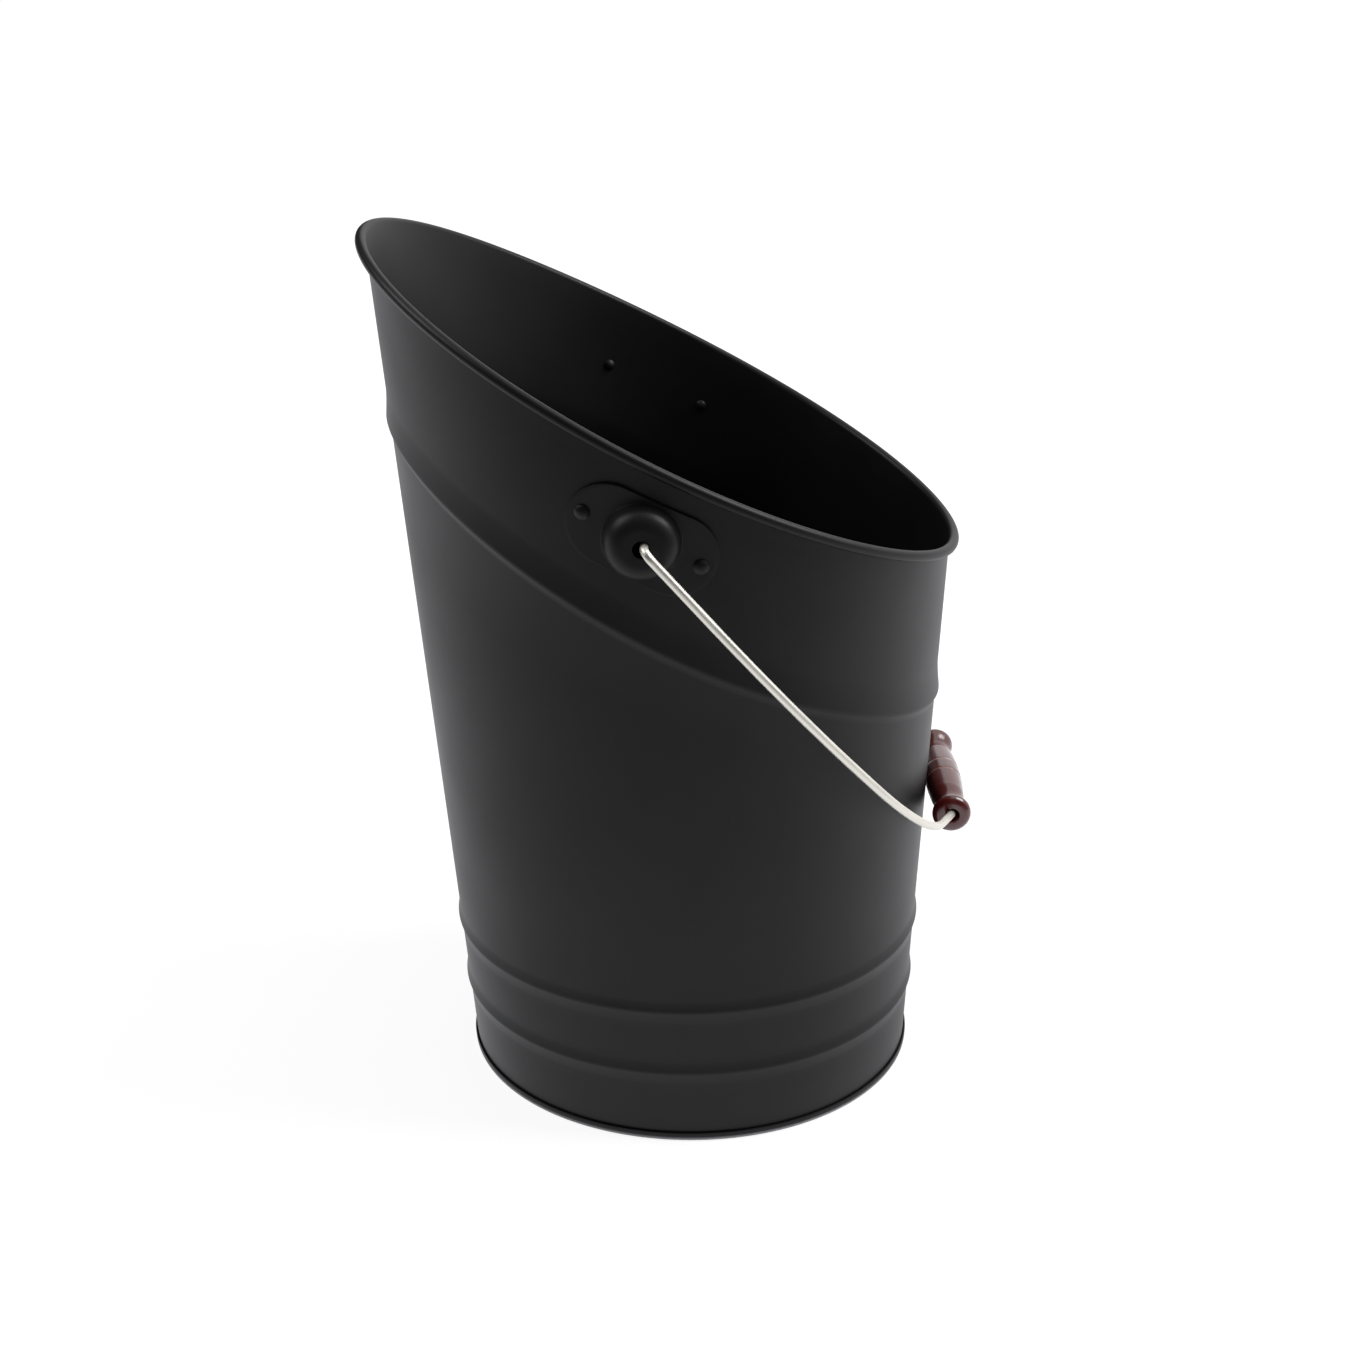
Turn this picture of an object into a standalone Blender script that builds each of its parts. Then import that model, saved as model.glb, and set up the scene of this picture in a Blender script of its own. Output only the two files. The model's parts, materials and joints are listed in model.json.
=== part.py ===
"""Pellet bucket of black coated sheet steel, with a slanted mouth, a wire bail and a turned wooden grip.

Metres, +Z up. The pouring side faces +X and the two ears face -Y (front) and +Y (back). The pieces are
modelled about the foot's centre, and one empty then moves them so that the origin is the middle of the
whole object's underside.
"""
import math

import bmesh
import bpy
from mathutils import Matrix, Vector

MM = 0.001

# Fits
GAP = 0.3 * MM                      # between pieces that touch
MERGE_DISTANCE = 0.001 * MM

# Wall: an oval cone that leans back, away from the pouring side
FOOT_RADIUS = 115 * MM              # outer radius where the wall meets the floor
SIDE_FLARE = 0.0663                 # growth of the half-length along X for each metre up
FRONT_FLARE = 0.0820                # growth of the half-width along Y for each metre up
LEAN = 0.02075                      # move of the centre towards -X for each metre up
WALL_SHEET = 0.6 * MM

# Rim line: the height of the curled edge at each angle from the pouring side
RIM_HEIGHT = 350.98 * MM            # mean height
RIM_SLANT = 72.77 * MM              # rise to the tall side and fall to the pouring side
RIM_BOW = 3.26 * MM                 # lift of both ends against the two sides
RIM_TWIST = -0.71 * MM              # small correction between the ends and the sides
RIM_WIRE_RADIUS = 1.6 * MM
CURL_FACET_ROOM = 0.05 * MM         # more room in the curl, because its facets lie inside the round
CURL_END = -120                     # degrees, where the curled edge stops, under the wire

# Beads pressed outwards
LEVEL_BEAD_HEIGHT = 39.5 * MM       # middle of the lower level bead
LEVEL_BEAD_PITCH = 35.5 * MM
LEVEL_BEAD_COUNT = 2
LEVEL_BEAD_WIDTH = 13.5 * MM
LEVEL_BEAD_RISE = 1.3 * MM
SLANT_BEAD_WIDTH = 19 * MM
SLANT_BEAD_RISE = 1.7 * MM
SLANT_BEAD_RUN_IN = 2.47 * MM       # how much nearer to the rim it runs at the pouring side than at the tall
SLANT_BEAD_BOW = 1.83 * MM          # how much nearer to the rim it runs at both ends than at the sides

# Bottom plate, folded out and up round the wall's lower edge
BASE_SHEET = 1.0 * MM
BASE_RECESS = 8 * MM                # height of the plate's middle layer above the floor
BASE_CORNER = 3 * MM                # bend between plate and skirt
HEM_HEIGHT = 4.5 * MM
HEM_BEND = 0.8 * MM

# Ears: oblong plates with a hollow boss, riveted to the wall
EAR_X = -20.1 * MM                  # place of the boss along X
EAR_TILT = 25                       # degrees, falling to the pouring side
EAR_SHEET = 1.2 * MM
EAR_LENGTH = 69 * MM
EAR_MARGIN = 1 * MM                 # plate beyond the boss's root
EAR_TO_RIM_GAP = 10.7 * MM
EAR_TO_BEAD_GAP = 10.11 * MM
BOSS_HEIGHT = 12.8 * MM             # from the plate's outer face to the boss's flat face
BOSS_FACE_RADIUS = 7.8 * MM
BOSS_SHOULDER = 8 * MM              # bend radius between face and side
BOSS_SIDE_ANGLE = 80                # degrees between the plate and the boss's side
BOSS_FILLET = 1.2 * MM

# Rivets
RIVET_PITCH = 55.6 * MM
RIVET_SHANK_RADIUS = 2 * MM
RIVET_HEAD_RADIUS = 3.5 * MM
RIVET_HEAD_HEIGHT = 1.8 * MM
RIVET_TAIL_RADIUS = 3 * MM
RIVET_TAIL_HEIGHT = 1.6 * MM

# Bail wire: sizes on the wire's centre line
BAIL_WIRE_RADIUS = 2 * MM
EAR_HOLE_PLAY = 1.54 * MM           # how far the wire lies off the hole's centre
EAR_HOLE_PLAY_ANGLE = 29            # degrees above +X, the side of the hole that the wire leans on
BAIL_REACH = 230.9 * MM             # from the swing axis to the grip's axis
ARM_CLEARANCE = 3.6 * MM            # from the boss's face to the arm
LEG_LENGTH = 9 * MM                 # of the turned-in end, from the boss's face inwards
EAR_BEND = 5 * MM
ARM_TAPER = 4.5                     # degrees by which each arm leans in
ARM_BOW = 414 * MM                  # slight bend below the straight arm
ARM_BOW_ANGLE = 16.8
CROWN_BEND = 96 * MM                # wide bend towards the grip
CROWN_BEND_ANGLE = 46.3
GRIP_BEND = 10 * MM                 # tight bend at the grip's end
GRIP_BEND_INSET = 2.4 * MM          # its corner lies this far inside the grip

# Grip: a turned profile, the same at both ends
GRIP_HALF_LENGTH = 45.6 * MM
GRIP_CROWN_RADIUS = 9.3 * MM
GRIP_SHOULDER_RADIUS = 8.33 * MM
GRIP_BARREL_HALF = 22 * MM          # from the middle to the barrel's shoulder
GRIP_NECK_RADIUS = 6.5 * MM
GRIP_NECK_INSET = 12.2 * MM         # from the end to the neck's thinnest place
GRIP_BEAD_RADIUS = 9.64 * MM
GRIP_BEAD_INSET = 3.5 * MM
GRIP_END_RADIUS = 8.4 * MM
GRIP_BORE_PLAY = 1.5 * MM           # room round the wire, for the bend at each end

# Facets: how finely the round shapes are divided
ROUND_SEGMENTS = 48
LEVEL_BEAD_ROWS = 5
SLANT_BEAD_ROWS = 7
CURL_SEGMENTS = 8
EAR_SEGMENTS = 32
BOSS_SHOULDER_SEGMENTS = 4
BOSS_FILLET_SEGMENTS = 2
RIVET_SEGMENTS = 14
RIVET_HEAD_SEGMENTS = 4
RIVET_TAIL_SEGMENTS = 3
HOLE_SEGMENTS = 20
GRIP_SEGMENTS = 18
GRIP_BARREL_SEGMENTS = 3
GRIP_NECK_SEGMENTS = 4
GRIP_END_SEGMENTS = 3
GRIP_BEND_SEGMENTS = 3
CROWN_BEND_SEGMENTS = 8
ARM_BOW_SEGMENTS = 4
EAR_BEND_SEGMENTS = 6
WIRE_RESOLUTION = 2

# Solving
SLOPE_STEP = 0.001                  # radians either side of a place whose slope is measured

# Finishes: linear colour, roughness, metallic
BLACK_COAT = ((0.021, 0.021, 0.022), 0.48, 0.0)
BRIGHT_WIRE = ((0.72, 0.70, 0.66), 0.26, 1.0)
RED_LACQUER = ((0.075, 0.014, 0.013), 0.28, 0.0)

# Sizes that follow from the ones above
CURL_RADIUS = RIM_WIRE_RADIUS + GAP + WALL_SHEET / 2 + CURL_FACET_ROOM
ROLL_RADIUS = CURL_RADIUS + WALL_SHEET / 2
SIDE_ANGLE = math.radians(BOSS_SIDE_ANGLE)
TILT = math.radians(EAR_TILT)
BOSS_SHOULDER_DROP = BOSS_SHOULDER * (1 - math.cos(SIDE_ANGLE))
BOSS_FILLET_DROP = BOSS_FILLET * (1 - math.cos(SIDE_ANGLE))
BOSS_SIDE_RUN = (BOSS_HEIGHT - BOSS_SHOULDER_DROP - BOSS_FILLET_DROP) / math.tan(SIDE_ANGLE)
BOSS_ROOT_RADIUS = (BOSS_FACE_RADIUS + (BOSS_SHOULDER + BOSS_FILLET) * math.sin(SIDE_ANGLE)
                    + BOSS_SIDE_RUN)
EAR_HALF_WIDTH = BOSS_ROOT_RADIUS + EAR_MARGIN
EAR_DROP = (EAR_HALF_WIDTH + EAR_TO_RIM_GAP + ROLL_RADIUS) / math.cos(TILT)
SLANT_BEAD_DROP = EAR_DROP + (EAR_HALF_WIDTH + EAR_TO_BEAD_GAP + SLANT_BEAD_WIDTH / 2) / math.cos(TILT)
EAR_HOLE_RADIUS = BAIL_WIRE_RADIUS + EAR_HOLE_PLAY + GAP
RIVET_HOLE_RADIUS = RIVET_SHANK_RADIUS + GAP
WALL_FOOT_HEIGHT = BASE_SHEET + 2 * GAP
GRIP_BORE_RADIUS = BAIL_WIRE_RADIUS + GRIP_BORE_PLAY


def rim_height(angle):
    """Height of the rim line at an angle from the pouring side."""
    return (RIM_HEIGHT - RIM_SLANT * math.cos(angle) + RIM_BOW * math.cos(2 * angle)
            + RIM_TWIST * math.cos(3 * angle))


def slant_bead_height(angle):
    """Height of the slanted bead's middle, which follows the rim line below it."""
    nearer = SLANT_BEAD_RUN_IN * math.cos(angle) + SLANT_BEAD_BOW * math.cos(2 * angle)
    return rim_height(angle) - SLANT_BEAD_DROP + nearer


def wall_centre(height):
    """X of the wall's middle at a height."""
    return -LEAN * height


def half_length(height):
    """Half of the wall's outer length along X at a height."""
    return FOOT_RADIUS + SIDE_FLARE * height


def half_width(height):
    """Half of the wall's outer width along Y at a height."""
    return FOOT_RADIUS + FRONT_FLARE * height


def wall_normal(angle, height):
    """Outward normal of the plain wall."""
    cosine, sine = math.cos(angle), math.sin(angle)
    length, width = half_length(height), half_width(height)
    fall = length * FRONT_FLARE * sine ** 2 + width * cosine * (SIDE_FLARE * cosine - LEAN)
    return Vector((width * cosine, length * sine, -fall)).normalized()


def wall_point(angle, height, out=0.0):
    """Point that lies out metres outside the plain wall's outer face."""
    face = Vector((wall_centre(height) + half_length(height) * math.cos(angle),
                   half_width(height) * math.sin(angle), height))
    return face + wall_normal(angle, height) * out


def level_point(angle, height, out):
    """Point at a height that lies out metres outside the wall's outer face, measured level."""
    normal = wall_normal(angle, height)
    return wall_point(angle, height) + Vector((normal.x, normal.y, 0)).normalized() * out


def wall_angle(x, height, side):
    """Angle of the wall at a place along X, on the back (side 1) or the front (side -1)."""
    return side * math.acos((x - wall_centre(height)) / half_length(height))


def rim_frame(angle):
    """Curl's centre on the rim, with the directions out of the wall and up along it."""
    height = rim_height(angle)
    ahead = wall_point(angle + SLOPE_STEP, rim_height(angle + SLOPE_STEP))
    behind = wall_point(angle - SLOPE_STEP, rim_height(angle - SLOPE_STEP))
    out = wall_normal(angle, height)
    up = out.cross(ahead - behind).normalized()
    return wall_point(angle, height, CURL_RADIUS - WALL_SHEET / 2), out, up


def bead_steps(rows):
    """Rows across a bead: place from -1 to 1 and share of the rise."""
    for row in range(rows):
        place = 2 * row / (rows - 1) - 1
        yield place, (1 + math.cos(math.pi * place)) / 2


def slanted_stretch(angle):
    """Vertical distance for each metre across the slanted bead."""
    ahead = wall_point(angle + SLOPE_STEP, slant_bead_height(angle + SLOPE_STEP))
    behind = wall_point(angle - SLOPE_STEP, slant_bead_height(angle - SLOPE_STEP))
    run = ahead - behind
    return run.length / math.hypot(run.x, run.y)


def level_row(height, out):
    """Row of the wall at one height."""
    return lambda angle: wall_point(angle, height, out - WALL_SHEET / 2)


def slanted_row(across, out):
    """Row of the wall beside the slanted bead's middle line."""
    return lambda angle: wall_point(angle, slant_bead_height(angle) + across * slanted_stretch(angle),
                                    out - WALL_SHEET / 2)


def curl_row(turn):
    """Row of the curled edge, at an angle round its centre."""
    def place(angle):
        centre, out, up = rim_frame(angle)
        return centre + (out * math.cos(turn) + up * math.sin(turn)) * CURL_RADIUS
    return place


def wall_rows():
    """Rows of the wall's sheet, from the foot up over the beads and round the curl."""
    rows = [level_row(WALL_FOOT_HEIGHT, 0)]
    for bead in range(LEVEL_BEAD_COUNT):
        middle = LEVEL_BEAD_HEIGHT + bead * LEVEL_BEAD_PITCH
        for place, share in bead_steps(LEVEL_BEAD_ROWS):
            rows.append(level_row(middle + place * LEVEL_BEAD_WIDTH / 2, share * LEVEL_BEAD_RISE))
    for place, share in bead_steps(SLANT_BEAD_ROWS):
        rows.append(slanted_row(place * SLANT_BEAD_WIDTH / 2, share * SLANT_BEAD_RISE))
    for step in range(CURL_SEGMENTS + 1):
        degrees = 180 + (CURL_END - 180) * step / CURL_SEGMENTS
        rows.append(curl_row(math.radians(degrees)))
    return rows


def base_rows():
    """Rows of the bottom plate's sheet, from its centre out and round the wall's lower edge."""
    inner = -WALL_SHEET - GAP - BASE_SHEET / 2
    outer = GAP + BASE_SHEET / 2
    low = BASE_SHEET / 2
    path = []
    for degrees in (90, 45, 0):
        turn = math.radians(degrees)
        path.append((inner - BASE_CORNER * (1 - math.cos(turn)),
                     BASE_RECESS - BASE_CORNER * (1 - math.sin(turn))))
    for centre, first in ((inner + HEM_BEND, 180), (outer - HEM_BEND, 270)):
        for degrees in (0, 45, 90):
            turn = math.radians(first + degrees)
            path.append((centre + HEM_BEND * math.cos(turn), low + HEM_BEND + HEM_BEND * math.sin(turn)))
    path.append((outer, HEM_HEIGHT))
    rows = [lambda angle: Vector((wall_centre(BASE_RECESS), 0, BASE_RECESS))]
    for out, height in path:
        rows.append(lambda angle, out=out, height=height: level_point(angle, height, out))
    return rows


def ear_height():
    """Height of the boss's centre, below the rim line at its place along X."""
    height = RIM_HEIGHT - EAR_DROP
    for _ in range(20):
        height = rim_height(wall_angle(EAR_X, height, 1)) - EAR_DROP
    return height


EAR_Z = ear_height()
EAR_ANGLE = wall_angle(EAR_X, EAR_Z, 1)
FACE_Y = wall_point(EAR_ANGLE, EAR_Z, GAP + EAR_SHEET).y + BOSS_HEIGHT


def ear_place(along, across):
    """X and Z of a point on an ear, from its distances along and across the plate."""
    return (EAR_X + along * math.cos(TILT) + across * math.sin(TILT),
            EAR_Z - along * math.sin(TILT) + across * math.cos(TILT))


def ear_outline(angle):
    """Distance from the boss's centre to the plate's outline, which has round ends."""
    straight = EAR_LENGTH / 2 - EAR_HALF_WIDTH
    cosine, sine = abs(math.cos(angle)), abs(math.sin(angle))
    if cosine * EAR_HALF_WIDTH <= straight * sine:
        return EAR_HALF_WIDTH / sine
    return straight * cosine + math.sqrt(EAR_HALF_WIDTH ** 2 - (straight * sine) ** 2)


def boss_steps():
    """Rings from the hole to the boss's root: radius and share of the boss's rise."""
    yield EAR_HOLE_RADIUS, 1.0
    for step in range(BOSS_SHOULDER_SEGMENTS + 1):
        turn = SIDE_ANGLE * step / BOSS_SHOULDER_SEGMENTS
        drop = BOSS_SHOULDER * (1 - math.cos(turn))
        yield BOSS_FACE_RADIUS + BOSS_SHOULDER * math.sin(turn), 1 - drop / BOSS_HEIGHT
    for step in range(BOSS_FILLET_SEGMENTS + 1):
        turn = SIDE_ANGLE * (1 - step / BOSS_FILLET_SEGMENTS)
        rise = BOSS_FILLET * (1 - math.cos(turn))
        yield BOSS_ROOT_RADIUS - BOSS_FILLET * math.sin(turn), rise / BOSS_HEIGHT


def ear_rows(side):
    """Rings of an ear's sheet, which follows the wall and rises to the boss's flat face."""
    def place(radius, share):
        def at(angle):
            reach = radius(angle)
            x, z = ear_place(reach * math.cos(angle), reach * math.sin(angle))
            on_plate = wall_point(wall_angle(x, z, side), z, GAP + EAR_SHEET / 2)
            on_face = Vector((x, side * (FACE_Y - EAR_SHEET / 2), z))
            return on_plate.lerp(on_face, share)
        return at
    rows = []
    for radius, share in boss_steps():
        rows.append(place(lambda angle, radius=radius: radius, share))
    for share in (0.5, 1.0):
        rows.append(place(lambda angle, share=share: BOSS_ROOT_RADIUS
                          + (ear_outline(angle) - BOSS_ROOT_RADIUS) * share, 0.0))
    return rows


def rivet_places():
    """Name and frame of each rivet: Z points out of the wall, and the origin is on its outer face."""
    for side, face in ((-1, "front"), (1, "back")):
        for end, level in ((-1, "high"), (1, "low")):
            x, z = ear_place(end * RIVET_PITCH / 2, 0)
            angle = wall_angle(x, z, side)
            turn = wall_normal(angle, z).to_track_quat("Z", "Y").to_matrix().to_4x4()
            yield side, f"rivet_{face}_{level}", Matrix.Translation(wall_point(angle, z)) @ turn


def dome(radius, height, first, last, steps):
    """Points of a low dome's outline, from one share of its radius to another, above height 0."""
    sphere = (radius ** 2 + height ** 2) / (2 * height)
    span = math.asin(radius / sphere)
    for step in range(steps + 1):
        turn = span * (first + (last - first) * step / steps)
        yield sphere * math.sin(turn), sphere * math.cos(turn) - (sphere - height)


def rivet_profile():
    """Outline of a rivet, from the top of its head to the end of its tail."""
    seat = GAP + EAR_SHEET + GAP
    facet_depth = half_width(EAR_Z) * (1 - math.cos(math.pi / ROUND_SEGMENTS))
    under = -WALL_SHEET - GAP - facet_depth
    head = [(x, seat + z) for x, z in dome(RIVET_HEAD_RADIUS, RIVET_HEAD_HEIGHT, 0, 1, RIVET_HEAD_SEGMENTS)]
    tail = [(x, under - z) for x, z in dome(RIVET_TAIL_RADIUS, RIVET_TAIL_HEIGHT, 1, 0, RIVET_TAIL_SEGMENTS)]
    return head + [(RIVET_SHANK_RADIUS, seat), (RIVET_SHANK_RADIUS, under)] + tail


def blend(first, last, steps):
    """Points of a smooth rise or fall between two places, without the first."""
    for step in range(1, steps + 1):
        share = (1 - math.cos(math.pi * step / steps)) / 2
        yield (first[0] + (last[0] - first[0]) * step / steps, first[1] + (last[1] - first[1]) * share)


def grip_half():
    """Half of the grip's turned outline: distance from the middle and radius."""
    points = []
    for step in range(GRIP_BARREL_SEGMENTS + 1):
        place = step / GRIP_BARREL_SEGMENTS
        radius = GRIP_CROWN_RADIUS - (GRIP_CROWN_RADIUS - GRIP_SHOULDER_RADIUS) * place ** 2
        points.append((place * GRIP_BARREL_HALF, radius))
    neck = (GRIP_HALF_LENGTH - GRIP_NECK_INSET, GRIP_NECK_RADIUS)
    bead = (GRIP_HALF_LENGTH - GRIP_BEAD_INSET, GRIP_BEAD_RADIUS)
    points += blend(points[-1], neck, GRIP_NECK_SEGMENTS)
    points += blend(neck, bead, GRIP_NECK_SEGMENTS)
    for step in range(1, GRIP_END_SEGMENTS + 1):
        turn = math.pi / 2 * step / GRIP_END_SEGMENTS
        points.append((bead[0] + GRIP_BEAD_INSET * math.sin(turn),
                       GRIP_END_RADIUS + (GRIP_BEAD_RADIUS - GRIP_END_RADIUS) * math.cos(turn)))
    return points


def grip_profile():
    """Closed outline of the grip, down its outer side and up its bore."""
    half = grip_half()
    upper = [(radius, along) for along, radius in reversed(half)]
    lower = [(radius, -along) for along, radius in half[1:]]
    bore = [(GRIP_BORE_RADIUS, -GRIP_HALF_LENGTH), (GRIP_BORE_RADIUS, GRIP_HALF_LENGTH)]
    return upper + lower + bore


def bail_headings():
    """Headings of the wire after each bend, from the grip outwards: 0 runs along the grip."""
    arm = math.radians(90 - ARM_TAPER)
    bow = arm - math.radians(ARM_BOW_ANGLE)
    crown = bow - math.radians(CROWN_BEND_ANGLE)
    return crown, bow, arm, math.pi


def bail_straights():
    """Lengths of the wire's straights below the wide bend and above the bowed arm."""
    crown, bow, arm, leg = bail_headings()
    start = GRIP_HALF_LENGTH - GRIP_BEND_INSET - GRIP_BEND * math.tan(crown / 2)
    across = (start + GRIP_BEND * math.sin(crown) + CROWN_BEND * (math.sin(bow) - math.sin(crown))
              + ARM_BOW * (math.sin(arm) - math.sin(bow)) + EAR_BEND * (1 - math.sin(arm)))
    back = (GRIP_BEND * (1 - math.cos(crown)) + CROWN_BEND * (math.cos(crown) - math.cos(bow))
            + ARM_BOW * (math.cos(bow) - math.cos(arm)) + EAR_BEND * (math.cos(arm) - math.cos(leg)))
    span = FACE_Y + ARM_CLEARANCE + BAIL_WIRE_RADIUS - across
    reach = BAIL_REACH - back
    scale = math.cos(crown) * math.sin(arm) - math.sin(crown) * math.cos(arm)
    lower = (span * math.sin(arm) - reach * math.cos(arm)) / scale
    upper = (reach * math.cos(crown) - span * math.sin(crown)) / scale
    return start, lower, upper


def bail_half():
    """Centre line of half of the bail: distance from the swing axis and place along it."""
    crown, bow, arm, leg = bail_headings()
    start, lower, upper = bail_straights()
    points = [Vector((BAIL_REACH, 0)), Vector((BAIL_REACH, start))]
    heading = 0.0
    for radius, turned, steps, straight in ((GRIP_BEND, crown, GRIP_BEND_SEGMENTS, lower),
                                            (CROWN_BEND, bow, CROWN_BEND_SEGMENTS, 0.0),
                                            (ARM_BOW, arm, ARM_BOW_SEGMENTS, upper),
                                            (EAR_BEND, leg, EAR_BEND_SEGMENTS, 0.0)):
        corner = points[-1]
        for step in range(1, steps + 1):
            turn = heading + (turned - heading) * step / steps
            run = Vector((math.cos(turn) - math.cos(heading), math.sin(turn) - math.sin(heading)))
            points.append(corner + run * radius)
        heading = turned
        if straight > 0:
            points.append(points[-1] + Vector((-math.sin(turned), math.cos(turned))) * straight)
    points.append(Vector((points[-1].x, FACE_Y - LEG_LENGTH)))
    return points


def clearance(grip_x, grip_z, angle):
    """Distance from the grip's barrel to the wall's outline at an angle."""
    nearest = math.inf
    for row in wall_rows():
        point = row(angle)
        nearest = min(nearest, math.hypot(point.x - grip_x, point.z - grip_z))
    foot, top = wall_point(angle, 0), wall_point(angle, rim_height(angle))
    line = (top - foot).normalized()
    offset = Vector((grip_x, 0, grip_z)) - foot
    nearest = min(nearest - WALL_SHEET / 2, (offset - line * offset.dot(line)).length)
    return nearest - GRIP_CROWN_RADIUS


def rest_angle():
    """Fall of the bail below level where the grip's barrel rests on the pouring side's wall."""
    clear, touching = 0.0, math.pi / 2
    for _ in range(40):
        angle = (clear + touching) / 2
        grip_x = PIVOT.x + BAIL_REACH * math.cos(angle)
        grip_z = PIVOT.z - BAIL_REACH * math.sin(angle)
        outside = grip_x > wall_point(0, grip_z).x
        if outside and clearance(grip_x, grip_z, 0) > GAP:
            clear = angle
        else:
            touching = angle
    return clear


PLAY_ANGLE = math.radians(EAR_HOLE_PLAY_ANGLE)
PIVOT = Vector((EAR_X + EAR_HOLE_PLAY * math.cos(PLAY_ANGLE), 0,
                EAR_Z + EAR_HOLE_PLAY * math.sin(PLAY_ANGLE)))
REST_ANGLE = rest_angle()


def middle_x():
    """X of the middle of the whole object, from the tall side's curl to the grip's bead."""
    curl = rim_frame(math.pi)[0]
    grip_x = PIVOT.x + BAIL_REACH * math.cos(REST_ANGLE)
    return (curl.x - ROLL_RADIUS + grip_x + max(GRIP_BEAD_RADIUS, GRIP_CROWN_RADIUS)) / 2


def clear_scene():
    """Empty the scene."""
    for thing in list(bpy.data.objects):
        bpy.data.objects.remove(thing, do_unlink=True)


def collection(name):
    """New collection in the scene."""
    group = bpy.data.collections.new(name)
    bpy.context.scene.collection.children.link(group)
    return group


def paint(piece, finish):
    """Give a piece its own material."""
    colour, roughness, metallic = finish
    material = bpy.data.materials.new(piece.name)
    material.use_nodes = True
    shader = material.node_tree.nodes["Principled BSDF"]
    shader.inputs["Base Color"].default_value = (*colour, 1.0)
    shader.inputs["Roughness"].default_value = roughness
    shader.inputs["Metallic"].default_value = metallic
    piece.data.materials.append(material)


def add_piece(name, data, group, parent, finish):
    """Put a new piece into the model."""
    piece = bpy.data.objects.new(name, data)
    group.objects.link(piece)
    piece.parent = parent
    paint(piece, finish)
    return piece


def add_empty(name, group, parent, place):
    """Put in an empty that carries other pieces."""
    empty = bpy.data.objects.new(name, None)
    empty.empty_display_size = 20 * MM
    empty.location = place
    empty.parent = parent
    group.objects.link(empty)
    return empty


def sheet_mesh(name, rows, segments):
    """Closed ring of sheet, from functions that give each row's point at an angle."""
    grid = bmesh.new()
    bmesh.ops.create_grid(grid, x_segments=segments, y_segments=len(rows) - 1, size=0.5)
    for vertex in grid.verts:
        column = round((vertex.co.x + 0.5) * segments)
        row = round((vertex.co.y + 0.5) * (len(rows) - 1))
        vertex.co = rows[row](2 * math.pi * column / segments)
    bmesh.ops.remove_doubles(grid, verts=grid.verts, dist=MERGE_DISTANCE)
    mesh = bpy.data.meshes.new(name)
    grid.to_mesh(mesh)
    grid.free()
    mesh.shade_smooth()
    return mesh


def add_sheet(name, rows, segments, thickness, group, parent):
    """Piece of coated sheet, thickened about its middle layer."""
    piece = add_piece(name, sheet_mesh(name, rows, segments), group, parent, BLACK_COAT)
    solid = piece.modifiers.new("sheet", "SOLIDIFY")
    solid.thickness = thickness
    solid.offset = 0
    solid.use_even_offset = True
    return piece


def add_wire(name, points, radius, cyclic, group, parent, finish):
    """Piece of round wire along a line of points."""
    curve = bpy.data.curves.new(name, "CURVE")
    curve.dimensions = "3D"
    curve.bevel_depth = radius
    curve.bevel_resolution = WIRE_RESOLUTION
    curve.use_fill_caps = True
    spline = curve.splines.new("POLY")
    spline.points.add(len(points) - 1)
    for point, place in zip(spline.points, points):
        point.co = (*place, 1.0)
    spline.use_cyclic_u = cyclic
    spline.use_smooth = True
    return add_piece(name, curve, group, parent, finish)


def add_turned(name, profile, closed, segments, group, parent, finish):
    """Turned piece, from an outline of radius and height about Z."""
    mesh = bpy.data.meshes.new(name)
    edges = [(index, index + 1) for index in range(len(profile) - 1)]
    if closed:
        edges.append((len(profile) - 1, 0))
    mesh.from_pydata([(radius, 0, height) for radius, height in profile], edges, [])
    piece = add_piece(name, mesh, group, parent, finish)
    screw = piece.modifiers.new("turned", "SCREW")
    screw.steps = segments
    screw.render_steps = segments
    screw.use_merge_vertices = True
    screw.merge_threshold = MERGE_DISTANCE
    return piece


def add_cutters(frames, cutters, parent):
    """Put the cutters for the rivets' holes into the collection of their side."""
    for side, name, frame in frames:
        bpy.ops.mesh.primitive_cylinder_add(vertices=HOLE_SEGMENTS, radius=RIVET_HOLE_RADIUS,
                                            depth=2 * RIVET_HEAD_RADIUS + 2 * EAR_SHEET)
        cutter = bpy.context.active_object
        cutter.name = f"hole_for_{name}"
        for group in cutter.users_collection:
            group.objects.unlink(cutter)
        cutters[side].objects.link(cutter)
        cutter.parent = parent
        cutter.matrix_local = frame
        cutter.hide_render = True
        cutter.display_type = "WIRE"


def bore(piece, cutters):
    """Cut a collection's cutters out of a piece."""
    cut = piece.modifiers.new("rivet holes", "BOOLEAN")
    cut.operation = "DIFFERENCE"
    cut.operand_type = "COLLECTION"
    cut.collection = cutters
    cut.solver = "EXACT"


def add_shell(group, frame, cutters):
    """Wall, rim wire and bottom plate."""
    wall = add_sheet("bucket_wall", wall_rows(), ROUND_SEGMENTS, WALL_SHEET, group, frame)
    for side in (-1, 1):
        bore(wall, cutters[side])
    turns = [2 * math.pi * step / ROUND_SEGMENTS for step in range(ROUND_SEGMENTS)]
    add_wire("rim_wire", [rim_frame(turn)[0] for turn in turns], RIM_WIRE_RADIUS, True, group, frame,
             BRIGHT_WIRE)
    add_sheet("base_plate", base_rows(), ROUND_SEGMENTS, BASE_SHEET, group, frame)


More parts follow.
